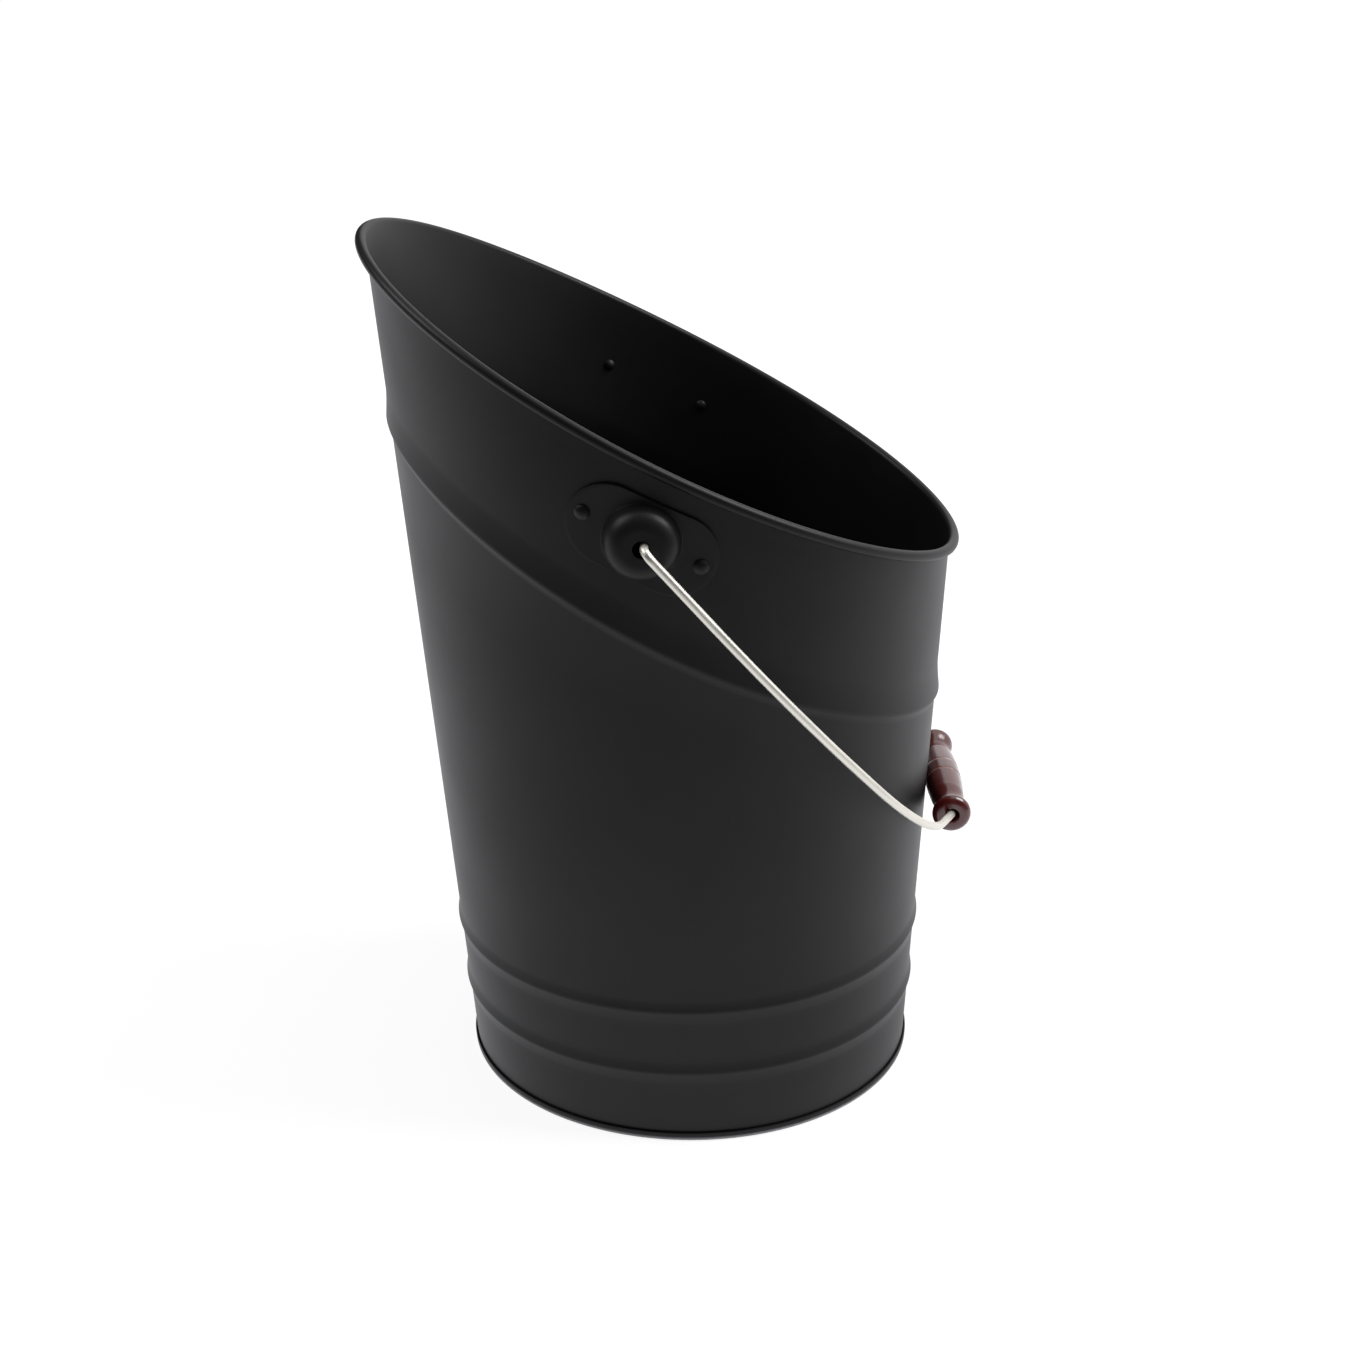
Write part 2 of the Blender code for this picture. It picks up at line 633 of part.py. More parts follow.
def add_ears(group, frame, cutters, frames):
    """Ears and their rivets."""
    for side, face in ((-1, "front"), (1, "back")):
        ear = add_sheet(f"ear_{face}", ear_rows(side), EAR_SEGMENTS, EAR_SHEET, group, frame)
        bore(ear, cutters[side])
    for _, name, place in frames:
        rivet = add_turned(name, rivet_profile(), False, RIVET_SEGMENTS, group, frame, BLACK_COAT)
        rivet.matrix_local = place


def add_bail(group, frame):
    """Bail wire on its swing axis and the grip on its own axis."""
    swing = add_empty("bail_axis", group, frame, PIVOT)
    swing.rotation_euler.y = REST_ANGLE
    half = bail_half()
    line = [Vector((point.x, -point.y, 0)) for point in reversed(half[1:])]
    line += [Vector((point.x, point.y, 0)) for point in half]
    add_wire("bail_wire", line, BAIL_WIRE_RADIUS, False, group, swing, BRIGHT_WIRE)
    spin = add_empty("grip_axis", group, swing, (BAIL_REACH, 0, 0))
    grip = add_turned("grip", grip_profile(), True, GRIP_SEGMENTS, group, spin, RED_LACQUER)
    grip.rotation_euler.x = math.pi / 2


def build():
    """Model the whole bucket."""
    clear_scene()
    group = collection("pellet_bucket")
    cutters = {-1: collection("front_cutters"), 1: collection("back_cutters")}
    frame = add_empty("bucket_frame", group, None, (-middle_x(), 0, 0))
    frames = list(rivet_places())
    add_cutters(frames, cutters, frame)
    add_shell(group, frame, cutters)
    add_ears(group, frame, cutters, frames)
    add_bail(group, frame)


build()
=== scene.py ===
"""Looks of the pellet bucket: black coated sheet steel, a bright wire bail and a lacquered grip.

Metres, +Z up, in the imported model's own frame. Geometry Nodes grow the wall and the bail's wire and
set the rivets in place. The rivet and the grip are turned from their outlines, and the ears and the
bottom plate are lofted from rows of points. Every piece is baked to a plain mesh.
"""
import json
import math

import bmesh
import bpy
from mathutils import Matrix, Vector


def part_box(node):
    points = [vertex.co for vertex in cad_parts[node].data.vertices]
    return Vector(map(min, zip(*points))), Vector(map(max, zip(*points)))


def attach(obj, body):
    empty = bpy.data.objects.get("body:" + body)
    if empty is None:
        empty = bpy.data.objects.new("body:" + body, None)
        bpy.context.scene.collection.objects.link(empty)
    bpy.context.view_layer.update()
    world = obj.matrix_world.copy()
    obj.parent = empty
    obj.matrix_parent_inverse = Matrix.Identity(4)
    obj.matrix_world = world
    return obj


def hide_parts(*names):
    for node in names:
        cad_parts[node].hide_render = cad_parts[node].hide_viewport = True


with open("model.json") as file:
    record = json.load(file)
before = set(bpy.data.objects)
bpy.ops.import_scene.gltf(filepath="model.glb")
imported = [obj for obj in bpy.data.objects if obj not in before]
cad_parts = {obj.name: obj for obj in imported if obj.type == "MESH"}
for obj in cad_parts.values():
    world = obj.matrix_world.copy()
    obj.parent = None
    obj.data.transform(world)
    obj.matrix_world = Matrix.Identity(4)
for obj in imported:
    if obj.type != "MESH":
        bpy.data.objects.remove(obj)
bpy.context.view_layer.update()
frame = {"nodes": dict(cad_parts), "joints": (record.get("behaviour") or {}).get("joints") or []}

MM = 0.001
MERGE_DISTANCE = 0.002 * MM         # points nearer than this are one point
SHARP_ANGLE = math.radians(40)      # edges that bend more than this stay sharp in the shading
BEVEL_ANGLE = math.radians(50)      # and sheet edges that bend more than this are rounded
EDGE_ROUNDING = 0.25 * MM

# Joints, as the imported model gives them
JOINTS = {joint["name"]: joint for joint in frame["joints"]}
PIVOT = Vector(JOINTS["bail_swing"]["pos_m"])
GRIP_PLACE = Vector(JOINTS["grip_spin"]["pos_m"])
GRIP_HALF_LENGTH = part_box("grip")[1].y
BAIL_HALF_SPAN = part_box("bail_wire")[1].y
FACE_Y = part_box("ear_back")[1].y
BAIL_REACH = (GRIP_PLACE - PIVOT).length
BAIL_DIRECTION = (GRIP_PLACE - PIVOT).normalized()

GAP = 0.3 * MM                      # between pieces that lie on each other

# Ears: an oblong plate with a hollow boss
EAR_X = -20.1 * MM                  # place of the boss along X, from the foot's centre
EAR_TILT = math.radians(25)         # how far the plate's length falls towards the pouring side
EAR_SHEET = 1.2 * MM
EAR_LENGTH = 69 * MM
EAR_MARGIN = 1 * MM                 # least width of plate beside the boss
EAR_HOLE_PLAY = 1.54 * MM           # how far the wire hangs off the hole's centre
EAR_HOLE_PLAY_ANGLE = math.radians(29)          # over the level, on the pouring side
BOSS_FACE_RADIUS = 7.8 * MM         # of the boss's flat face
BOSS_SHOULDER = 8 * MM
BOSS_SIDE_ANGLE = math.radians(80)
BOSS_FILLET = 1.2 * MM
BOSS_HEIGHT = 12.8 * MM
BOSS_FACE_STEPS = 4
BOSS_SHOULDER_STEPS = 10
BOSS_FILLET_STEPS = 6
PLATE_STEPS = 8                     # from the boss's root to the plate's outline
EAR_EDGE_STEPS = 3

# Place of the foot's centre and of the ears' holes
FOOT_X = PIVOT.x - EAR_X - EAR_HOLE_PLAY * math.cos(EAR_HOLE_PLAY_ANGLE)
EAR_Z = PIVOT.z - EAR_HOLE_PLAY * math.sin(EAR_HOLE_PLAY_ANGLE)

# Wall: named inputs of its node tree
WALL = {
    "Foot Radius": 115 * MM,
    "Side Flare": 0.0663,
    "Front Flare": 0.0820,
    "Lean": 0.02075,
    "Sheet": 0.6 * MM,
    "Rim Height": 350.98 * MM,
    "Rim Slant": 72.77 * MM,
    "Rim Bow": 3.26 * MM,
    "Rim Twist": -0.71 * MM,
    "Curl Radius": 2.25 * MM,
    "Level Bead Width": 13.5 * MM,
    "Level Bead Rise": 1.3 * MM,
    "Level Bead Crest": 9 / 16,     # place of the crest, as a share of the bead's width from below
    "Slanted Bead Drop": 77.693 * MM,
    "Slanted Bead Run In": 2.47 * MM,
    "Slanted Bead Bow": 1.83 * MM,
    "Slanted Bead Width": 19 * MM,
    "Slanted Bead Rise": 1.7 * MM,
    "Slanted Bead Crest": 4 / 16,
    "Bead Sharpness": 1.4,          # above 1 the flanks run in hollow to a sharper crest
}
WALL_FOOT_HEIGHT = 1.6 * MM         # of the sheet's lower edge
LEVEL_BEAD_HEIGHTS = (39.5 * MM, 75.0 * MM)
CURL_START = math.radians(180)      # turns round the curl's centre, from the wall over the top
CURL_END = math.radians(-120)
SLOPE_STEP = 0.01                   # radians either side of a place whose slope is measured

# Bottom plate, with the hem that is folded round the wall's lower edge
BASE_SHEET = 1.0 * MM
BASE_RECESS = 8 * MM                # height of the plate over the floor
BASE_CORNER = 3 * MM                # radius where the plate turns down to its skirt
BASE_RINGS = (28, 20, 12, 4, 2)     # places of the plate's rings, in corner radii from its skirt
BASE_CORNER_STEPS = 8
BASE_EDGE_STEPS = 2
HEM_HEIGHT = 4.5 * MM
HEM_BEND = 0.8 * MM                 # radius of the skirt's fold under and up
HEM_BEND_STEPS = 6
HEM_LEAN = 0.2 * MM                 # how far the hem's upper edge leans in
HEM_LEAN_HEIGHT = 1 * MM            # and over what height

# Rivets
RIVET_PITCH = 55.6 * MM
RIVET_SHANK_RADIUS = 2 * MM
RIVET_HEAD_RADIUS = 3.5 * MM
RIVET_HEAD_HEIGHT = 1.8 * MM
RIVET_TAIL_RADIUS = 3 * MM
RIVET_TAIL_HEIGHT = 1.6 * MM
RIVET_BRIM = 0.35 * MM              # straight edge under the head's dome
RIVET_HEAD_STEPS = 9
RIVET_TAIL_STEPS = 7

# Bail wire: bends by their radius on the centre line, from the ears to the grip
BAIL_WIRE_RADIUS = 2 * MM
WIRE_END_ROUNDING = 0.5 * MM
WIRE_END_PLACES = (1, 1 / 3, 0)     # of its last points, in shares of that rounding
WIRE_END_NARROWING = 0.25           # share of its radius that the wire loses there
LEG_LENGTH = 9 * MM                 # of the end behind the boss's face
EAR_BEND = 5 * MM
EAR_BEND_STEPS = 20
ARM_TAPER = math.radians(4.5)       # how far each arm leans out at the ear
ARM_BOW = 414 * MM
ARM_BOW_ANGLE = math.radians(16.8)
ARM_BOW_STEPS = 24
CROWN_BEND = 96 * MM
CROWN_BEND_ANGLE = math.radians(46.3)
CROWN_BEND_STEPS = 36
GRIP_BEND = 10 * MM
GRIP_BEND_INSET = 2.4 * MM          # where that bend starts, inside the grip's end
GRIP_BEND_STEPS = 12

# Grip: barrel, neck and end bead, with insets measured from the grip's end
GRIP_CROWN_RADIUS = 9.3 * MM        # at the middle of the barrel
GRIP_SHOULDER_RADIUS = 8.33 * MM    # and where the barrel ends
GRIP_BARREL_HALF = 22 * MM
GRIP_BARREL_STEPS = 20
GRIP_NECK_RADIUS = 6.5 * MM
GRIP_NECK_INSET = 12.2 * MM
GRIP_NECK_STEPS = 14
GRIP_BEAD_RADIUS = 9.64 * MM
GRIP_BEAD_INSET = 3.5 * MM
GRIP_END_RADIUS = 5.6 * MM          # of the flat face that the bead rounds off to
GRIP_END_FIRST = 5                  # degrees from the bead's widest place to the next ring
GRIP_END_STEPS = 18
GRIP_BORE_RADIUS = 3.5 * MM
GRIP_BORE_EDGE = 0.6 * MM
GRIP_BORE_STEPS = 4
GRIP_RING_PLACE = 6 * MM            # from the middle to each incised ring
GRIP_RING_WIDTH = 1.3 * MM
GRIP_RING_DEPTH = 0.5 * MM
GRIP_RING_STEPS = 8

# Rows up the wall, and columns or sides round each piece
WALL_COLUMNS = 240
BEAD_ROWS = 16                      # the beads' crests lie on one of these
PLAIN_ROWS = 6
CURL_ROWS = 24
EAR_COLUMNS = 128
BASE_COLUMNS = 192
WIRE_SIDES = 24
GRIP_COLUMNS = 96
RIVET_COLUMNS = 32

# Finishes. Pairs are the two ends between which a value varies over the surface.
CLOUD_SPREAD = (0.3, 0.7)           # part of the noise that is stretched over the whole range
COAT_SHADE = (0.0045, 0.0065)
COAT_SHADE_SCALE = 26.0
COAT_BLUE = 1.05                    # blue over red and green
COAT_GLOSS = (0.41, 0.48)
COAT_GLOSS_SCALE = 11.0
COAT_SPECULAR = 0.22
COAT_RELIEF = 0.12
COAT_GRAIN = 0.2 * MM
FOOT_SHEEN_AND_WEAR = 0.35                 # added near the foot: painted reflection of the white floor in the hem, and the coat scuffed thin by the floor
FOOT_SHEEN_AND_WEAR_FROM = 1.2 * MM              # height below which that is in full
FOOT_SHEEN_AND_WEAR_TO = 2.4 * MM                # and above which there is none
WIRE_STREAKS = (1800.0, 1800.0, 60.0)           # noise for each metre along X, Y and Z
WIRE_SHADE = (0.68, 0.80)
WIRE_GREEN, WIRE_BLUE = 0.97, 0.88  # of red
WIRE_GLOSS = (0.40, 0.52)
WIRE_RELIEF = 0.1
WIRE_GRAIN = 0.05 * MM
WOOD_STREAKS = (500.0, 40.0, 500.0)
LACQUER_RED = (0.06, 0.10)
LACQUER_GREEN, LACQUER_BLUE = 0.045, 0.04       # of red
RING_HIGHLIGHT_SHADE = (0.30, 0.20, 0.17)     # painted highlight: a light line added in each incised ring, for the light that the groove's edge catches
RING_HIGHLIGHT_WITHIN = 0.3                   # half-width of that painted highlight at full strength, in ring widths
RING_HIGHLIGHT_UP_TO = 0.5                    # and of all of it, as it fades out
LACQUER_GLOSS = (0.30, 0.40)
LACQUER_SPECULAR = 0.1
LACQUER_COAT_ROUGHNESS = 0.2
LACQUER_COAT_IOR = 1.65

# Camera: the photograph's place and direction
PHOTO_PIXELS = 1360
SENSOR_WIDTH = 36.0                 # millimetres, as Blender counts it
CAMERA_PLACE = Vector((4.93 * MM, -997.0 * MM, 594.5 * MM))     # from the foot's centre
CAMERA_AZIMUTH = math.radians(0.590)
CAMERA_ELEVATION = math.radians(21.622)
CAMERA_ROLL = math.radians(-0.115)
CAMERA_FOCAL_PIXELS = 2097.5

# Light: a white floor, a white tent and square softboxes. In reflections the floor is darker on the
# camera's side, and the tent there and on the left.
FLOOR_REACH = 40.0                  # from its middle to each side
FLOOR_PALE = 0.78                   # colour that soft light bounces off
FLOOR_ROUGHNESS = 0.9
FLOOR_SHADE = 0.3                   # colour of the part that shows light and shadow
FLOOR_GLOW = 0.94                   # strength of the part that shows white
FLOOR_GLOW_NEAR = 0.86              # share of it round the foot, so that the shadow shows there
FLOOR_NEAR = 0.3                    # distance up to which that holds
FLOOR_FAR = 1.2                     # and from which the floor glows in full
FLOOR_COOL = 0.96                   # share of red and green that reflections keep of it
FLOOR_FRONT = 0.18                  # share of it that reflections show on the camera's side
FLOOR_DARK_FROM = -0.85             # place along Y where the floor is at its darkest there
FLOOR_WHITE_FROM = -0.34            # and where it is white
FLOOR_SIDE_SHARE = 0.15             # how much a metre to the side counts of a metre to the front
TENT_LIGHT = 0.26                   # strength as a soft light on the object
TENT_FRONT = 0.075                  # strength in reflections, on the camera's side
TENT_DARK_FROM = -0.5               # direction along Y where the tent is at its darkest
TENT_WHITE_FROM = 0.1               # and where it is white
TENT_LEFT = 0.04                    # strength in reflections, on the left
TENT_LEFT_FROM = -0.16              # direction along X where that starts
TENT_RIGHT_FROM = -0.06             # and where it is white
LIGHT_AIM = Vector((0.0, 0.0, 0.2))
SOFTBOXES = (                       # name, place, side and power in watts
    ("left_softbox", (-1.3, 0.0, 1.6), 1.0, 15.0),
    ("right_softbox", (1.3, 0.0, 1.6), 1.0, 30.0),
    ("top_softbox", (0.0, 0.2, 2.0), 1.6, 4.0),
)


class Field:
    """Number that a node tree works out at each point. Arithmetic on it adds nodes to the tree."""

    def __init__(self, tree, socket):
        self.tree = tree
        self.socket = socket

    def maths(self, operation, *others):
        """Result of a Math node fed with this number and others."""
        node = self.tree.nodes.new("ShaderNodeMath")
        node.operation = operation
        for slot, value in zip(node.inputs, (self, *others)):
            plug(self.tree, slot, value)
        return Field(self.tree, node.outputs[0])

    def __add__(self, other):
        return self.maths("ADD", other)

    def __sub__(self, other):
        return self.maths("SUBTRACT", other)

    def __rsub__(self, other):
        return self.maths("MULTIPLY_ADD", -1.0, other)

    def __mul__(self, other):
        return self.maths("MULTIPLY", other)

    def __truediv__(self, other):
        return self.maths("DIVIDE", other)

    def __neg__(self):
        return self.maths("MULTIPLY", -1.0)


def plug(tree, slot, value):
    """Feed an input with a plain value, a field, an output or a node's first output."""
    if isinstance(value, Field):
        value = value.socket
    elif isinstance(value, bpy.types.Node):
        value = value.outputs[0]
    if isinstance(value, bpy.types.NodeSocket):
        tree.links.new(value, slot)
    else:
        slot.default_value = value


def cosine(angle):
    """Cosine of a plain number or of a node tree's."""
    return angle.maths("COSINE") if isinstance(angle, Field) else math.cos(angle)


def sine(angle):
    """Sine of a plain number or of a node tree's."""
    return angle.maths("SINE") if isinstance(angle, Field) else math.sin(angle)


def root(value):
    """Square root of a plain number or of a node tree's."""
    return value.maths("SQRT") if isinstance(value, Field) else math.sqrt(value)


def unit(vector):
    """Vector of length one, from three numbers."""
    x, y, z = vector
    length = root(x * x + y * y + z * z)
    return (x / length, y / length, z / length)


def cross(first, second):
    """Vector square to two others."""
    return (first[1] * second[2] - first[2] * second[1],
            first[2] * second[0] - first[0] * second[2],
            first[0] * second[1] - first[1] * second[0])


def shifted(point, direction, distance):
    """Point moved along a direction."""
    return tuple(place + step * distance for place, step in zip(point, direction))


def rim_height(sizes, angle):
    """Height of the rim line at an angle from the pouring side."""
    return (sizes["Rim Height"] - sizes["Rim Slant"] * cosine(angle)
            + sizes["Rim Bow"] * cosine(angle * 2) + sizes["Rim Twist"] * cosine(angle * 3))


def slant_bead_height(sizes, angle):
    """Height of the slanted bead's middle."""
    run_in, bow = sizes["Slanted Bead Run In"], sizes["Slanted Bead Bow"]
    nearer = run_in * cosine(angle) + bow * cosine(angle * 2)
    return rim_height(sizes, angle) - sizes["Slanted Bead Drop"] + nearer


def wall_spans(sizes, height):
    """Middle along X and the wall's half-length and half-width at a height."""
    middle = FOOT_X - sizes["Lean"] * height
    length = sizes["Foot Radius"] + sizes["Side Flare"] * height
    width = sizes["Foot Radius"] + sizes["Front Flare"] * height
    return middle, length, width


def wall_normal(sizes, angle, height):
    """Outward direction of the plain wall."""
    _, length, width = wall_spans(sizes, height)
    ahead, aside = cosine(angle), sine(angle)
    fall = (length * sizes["Front Flare"] * aside * aside
            + width * ahead * (sizes["Side Flare"] * ahead - sizes["Lean"]))
    return unit((width * ahead, length * aside, -fall))


def wall_point(sizes, angle, height, out=0.0):
    """Point that lies out metres outside the plain wall's outer face."""
    middle, length, width = wall_spans(sizes, height)
    face = (middle + length * cosine(angle), width * sine(angle), height)
    return shifted(face, wall_normal(sizes, angle, height), out)


def run_along(sizes, line, angle):
    """Difference between two near points of a line drawn round the wall."""
    ahead = wall_point(sizes, angle + SLOPE_STEP, line(sizes, angle + SLOPE_STEP))
    behind = wall_point(sizes, angle - SLOPE_STEP, line(sizes, angle - SLOPE_STEP))
    return tuple(a - b for a, b in zip(ahead, behind))


def slanted_stretch(sizes, angle):
    """Vertical distance for each metre across the slanted bead."""
    x, y, z = run_along(sizes, slant_bead_height, angle)
    level = x * x + y * y
    return root((level + z * z) / level)


def curl_point(sizes, angle, turn):
    """Point of the curled edge's middle layer, at an angle round the curl's centre."""
    height = rim_height(sizes, angle)
    out = wall_normal(sizes, angle, height)
    up = unit(cross(out, run_along(sizes, rim_height, angle)))
    radius = sizes["Curl Radius"]
    centre = wall_point(sizes, angle, height, radius - sizes["Sheet"] * 0.5)
    return shifted(shifted(centre, out, radius * cosine(turn)), up, radius * sine(turn))


def wall_angle(x, height, side):
    """Angle of the wall at a place along X, on the back (side 1) or the front (side -1)."""
    middle, length, _ = wall_spans(WALL, height)
    return side * math.acos((x - middle) / length)


def new_object(name, data):
    """Object in the scene."""
    item = bpy.data.objects.new(name, data)
    bpy.context.scene.collection.objects.link(item)
    return item


def new_tree(name, sizes, takes_geometry=False):
    """Geometry tree with named sizes as inputs. Returns it with its inputs as fields."""
    tree = bpy.data.node_groups.new(name, "GeometryNodeTree")
    tree.interface.new_socket("Geometry", in_out="OUTPUT", socket_type="NodeSocketGeometry")
    if takes_geometry:
        tree.interface.new_socket("Geometry", in_out="INPUT", socket_type="NodeSocketGeometry")
    for label, value in sizes.items():
        socket = tree.interface.new_socket(label, in_out="INPUT", socket_type="NodeSocketFloat")
        socket.default_value = value
    entry = tree.nodes.new("NodeGroupInput")
    return tree, entry, {label: Field(tree, entry.outputs[label]) for label in sizes}


def feed(tree, node, values):
    """Feed inputs of a node by name. A name may have underscores for spaces."""
    for label, value in values.items():
        plug(tree, node.inputs[label.replace("_", " ")], value)


def add_node(tree, kind, settings=(), **values):
    """Node of a tree, with its settings and with its inputs fed by name."""
    node = tree.nodes.new(kind)
    for label, value in dict(settings).items():
        setattr(node, label, value)
    feed(tree, node, values)
    return node


def vector_of(tree, parts):
    """Vector from three numbers."""
    node = tree.nodes.new("ShaderNodeCombineXYZ")
    for slot, value in zip(node.inputs, parts):
        plug(tree, slot, value)
    return node


def split(tree, vector):
    """Three numbers of a vector."""
    node = add_node(tree, "ShaderNodeSeparateXYZ", Vector=vector)
    return [Field(tree, socket) for socket in node.outputs]


def end_tree(tree, geometry, material):
    """Close a tree: loose points joined, instances made real, smooth shading and the material."""
    merged = add_node(tree, "GeometryNodeMergeByDistance", Geometry=geometry,
                      Distance=MERGE_DISTANCE)
    real = add_node(tree, "GeometryNodeRealizeInstances", Geometry=merged)
    smooth = add_node(tree, "GeometryNodeSetShadeSmooth", Geometry=real)
    painted = add_node(tree, "GeometryNodeSetMaterial", Geometry=smooth, Material=material)
    plug(tree, tree.nodes.new("NodeGroupOutput").inputs[0], painted)


def grown(name, tree, sizes, source=None):
    """Object that a tree grows, with its sizes set by socket identifier."""
    piece = new_object(name, source or bpy.data.meshes.new(name))
    growth = piece.modifiers.new("growth", "NODES")
    growth.node_group = tree
    for item in tree.interface.items_tree:
        if item.in_out == "INPUT" and item.name in sizes:
            growth[item.identifier] = sizes[item.name]
    return piece


def thicken(piece, thickness):
    """Give a sheet its thickness, half on each side."""
    solid = piece.modifiers.new("sheet", "SOLIDIFY")
    solid.thickness = thickness
    solid.offset = 0
    solid.use_even_offset = True


def bevel(piece, steps):
    """Round a sheet's sharp edges."""
    rounded = piece.modifiers.new("rounded edges", "BEVEL")
    rounded.width = EDGE_ROUNDING
    rounded.segments = steps
    rounded.limit_method = "ANGLE"
    rounded.angle_limit = BEVEL_ANGLE


def baked(source):
    """Plain mesh piece from an object with modifiers, with its faces pointing out."""
    depsgraph = bpy.context.evaluated_depsgraph_get()
    mesh = bpy.data.meshes.new_from_object(
        source.evaluated_get(depsgraph), preserve_all_data_layers=True, depsgraph=depsgraph)
    name = source.name
    bpy.data.objects.remove(source, do_unlink=True)
    piece = new_object(name, mesh)
    piece.name = mesh.name = name
    shell = bmesh.new()
    shell.from_mesh(mesh)
    if shell.calc_volume(signed=True) < 0:
        bmesh.ops.reverse_faces(shell, faces=shell.faces)
        shell.to_mesh(mesh)
    shell.free()
    mesh.shade_smooth()
    mesh.set_sharp_from_angle(angle=SHARP_ANGLE)
    return piece


def place_piece(piece, body, slot, *nodes):
    """Put a finished piece on its body, in place of its nodes."""
    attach(piece, body)
    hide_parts(*nodes)


def band(tree, rows, point):
    """Ring of faces: point gives each place from its angle and its share of the band's height."""
    grid = add_node(tree, "GeometryNodeMeshGrid", Size_X=1.0, Size_Y=1.0,
                    Vertices_X=WALL_COLUMNS + 1, Vertices_Y=rows + 1)
    across, up, _ = split(tree, tree.nodes.new("GeometryNodeInputPosition"))
    place = point((across + 0.5) * math.tau, up + 0.5)
    return add_node(tree, "GeometryNodeSetPosition", Geometry=grid, Position=vector_of(tree, place))


def wall_tree(material):
    """Tree of the wall's sheet: bands from the foot to the rim, and the curled edge."""
    tree, _, sizes = new_tree("wall_sheet", WALL)
    half_sheet = sizes["Sheet"] * 0.5

    def between(low, high, bead):
        def point(angle, share):
            start = low(angle)
            height = start + (high(angle) - start) * share
            if not bead:
                return wall_point(sizes, angle, height, -half_sheet)
            crest = sizes[f"{bead} Crest"]
            nearness = (share / crest).maths("MINIMUM", (1 - share) / (1 - crest))
            rise = sizes[f"{bead} Rise"] * nearness.maths("POWER", sizes["Bead Sharpness"])
            return wall_point(sizes, angle, height, rise - half_sheet)
        return point

    def level(height, widths):
        return lambda angle: sizes["Level Bead Width"] * widths + height

    def slanted(widths):
        def at(angle):
            width = sizes["Slanted Bead Width"] * slanted_stretch(sizes, angle)
            return slant_bead_height(sizes, angle) + width * widths
        return at

    lines = [(level(WALL_FOOT_HEIGHT, 0), "")]
    for height in LEVEL_BEAD_HEIGHTS:
        lines += [(level(height, -0.5), "Level Bead"), (level(height, 0.5), "")]
    lines += [(slanted(-0.5), "Slanted Bead"), (slanted(0.5), "")]
    lines.append((lambda angle: rim_height(sizes, angle), ""))
    bands = []
    for (low, bead), (high, _) in zip(lines, lines[1:]):
        bands.append(band(tree, BEAD_ROWS if bead else PLAIN_ROWS, between(low, high, bead)))
    bands.append(band(tree, CURL_ROWS, lambda angle, share: curl_point(
        sizes, angle, share * (CURL_END - CURL_START) + CURL_START)))
    joined = tree.nodes.new("GeometryNodeJoinGeometry")
    for geometry in reversed(bands):
        plug(tree, joined.inputs[0], geometry)
    end_tree(tree, joined, material)
    return tree


def add_wall(material):
    """Wall with its pressed beads and curled edge."""
    wall = grown("wall_with_beads", wall_tree(material), WALL)
    thicken(wall, WALL["Sheet"])
    place_piece(baked(wall), "bucket", "black_coat", "bucket_wall")


def lofted(name, rows, columns, material):
    """Ring of sheet from functions that give each row's point at an angle."""
    grid = bmesh.new()
    bmesh.ops.create_grid(grid, x_segments=columns, y_segments=len(rows) - 1, size=0.5)
    for vertex in grid.verts:
        column = round((vertex.co.x + 0.5) * columns)
        row = round((vertex.co.y + 0.5) * (len(rows) - 1))
        vertex.co = rows[row](math.tau * column / columns)
    bmesh.ops.remove_doubles(grid, verts=grid.verts, dist=MERGE_DISTANCE)
    mesh = bpy.data.meshes.new(name)
    grid.to_mesh(mesh)
    grid.free()
    mesh.materials.append(material)
    return new_object(name, mesh)


def arc(steps, first, last):
    """Angles in degrees from first to last, as radians."""
    for step in range(steps + 1):
        yield math.radians(first + (last - first) * step / steps)


def level_point(angle, height, out):
    """Point at a height that lies out metres outside the wall's outer face, measured level."""
    x, y, _ = wall_normal(WALL, angle, height)
    return Vector(wall_point(WALL, angle, height)) + Vector((x, y, 0)).normalized() * out


def base_rows():
    """Rows of the bottom plate's sheet, from its centre out and round the wall's lower edge."""
    inner = -WALL["Sheet"] - GAP - BASE_SHEET / 2
    outer = GAP + BASE_SHEET / 2
    path = [(inner - BASE_CORNER * share, BASE_RECESS) for share in BASE_RINGS]
    for turn in arc(BASE_CORNER_STEPS, 90, 0):
        path.append((inner - BASE_CORNER * (1 - math.cos(turn)),
                     BASE_RECESS - BASE_CORNER * (1 - math.sin(turn))))
    low = BASE_SHEET / 2 + HEM_BEND
    for centre, first in ((inner + HEM_BEND, 180), (outer - HEM_BEND, 270)):
        for turn in arc(HEM_BEND_STEPS, first, first + 90):
            path.append((centre + HEM_BEND * math.cos(turn), low + HEM_BEND * math.sin(turn)))
    path += [(outer, HEM_HEIGHT - HEM_LEAN_HEIGHT), (outer - HEM_LEAN, HEM_HEIGHT)]
    centre = Vector((FOOT_X - WALL["Lean"] * BASE_RECESS, 0, BASE_RECESS))
    rows = [lambda angle: centre]
    for out, height in path:
        rows.append(lambda angle, out=out, height=height: level_point(angle, height, out))
    return rows


def add_base(material):
    """Bottom plate, folded round the wall's lower edge."""
    base = lofted("bottom_plate_with_hem", base_rows(), BASE_COLUMNS, material)
    thicken(base, BASE_SHEET)
    bevel(base, BASE_EDGE_STEPS)
    place_piece(baked(base), "bucket", "black_coat", "base_plate")


def ear_place(along, across):
    """X and Z of a point on an ear, from its distances along and across the plate."""
    return (FOOT_X + EAR_X + along * math.cos(EAR_TILT) + across * math.sin(EAR_TILT),
            EAR_Z - along * math.sin(EAR_TILT) + across * math.cos(EAR_TILT))


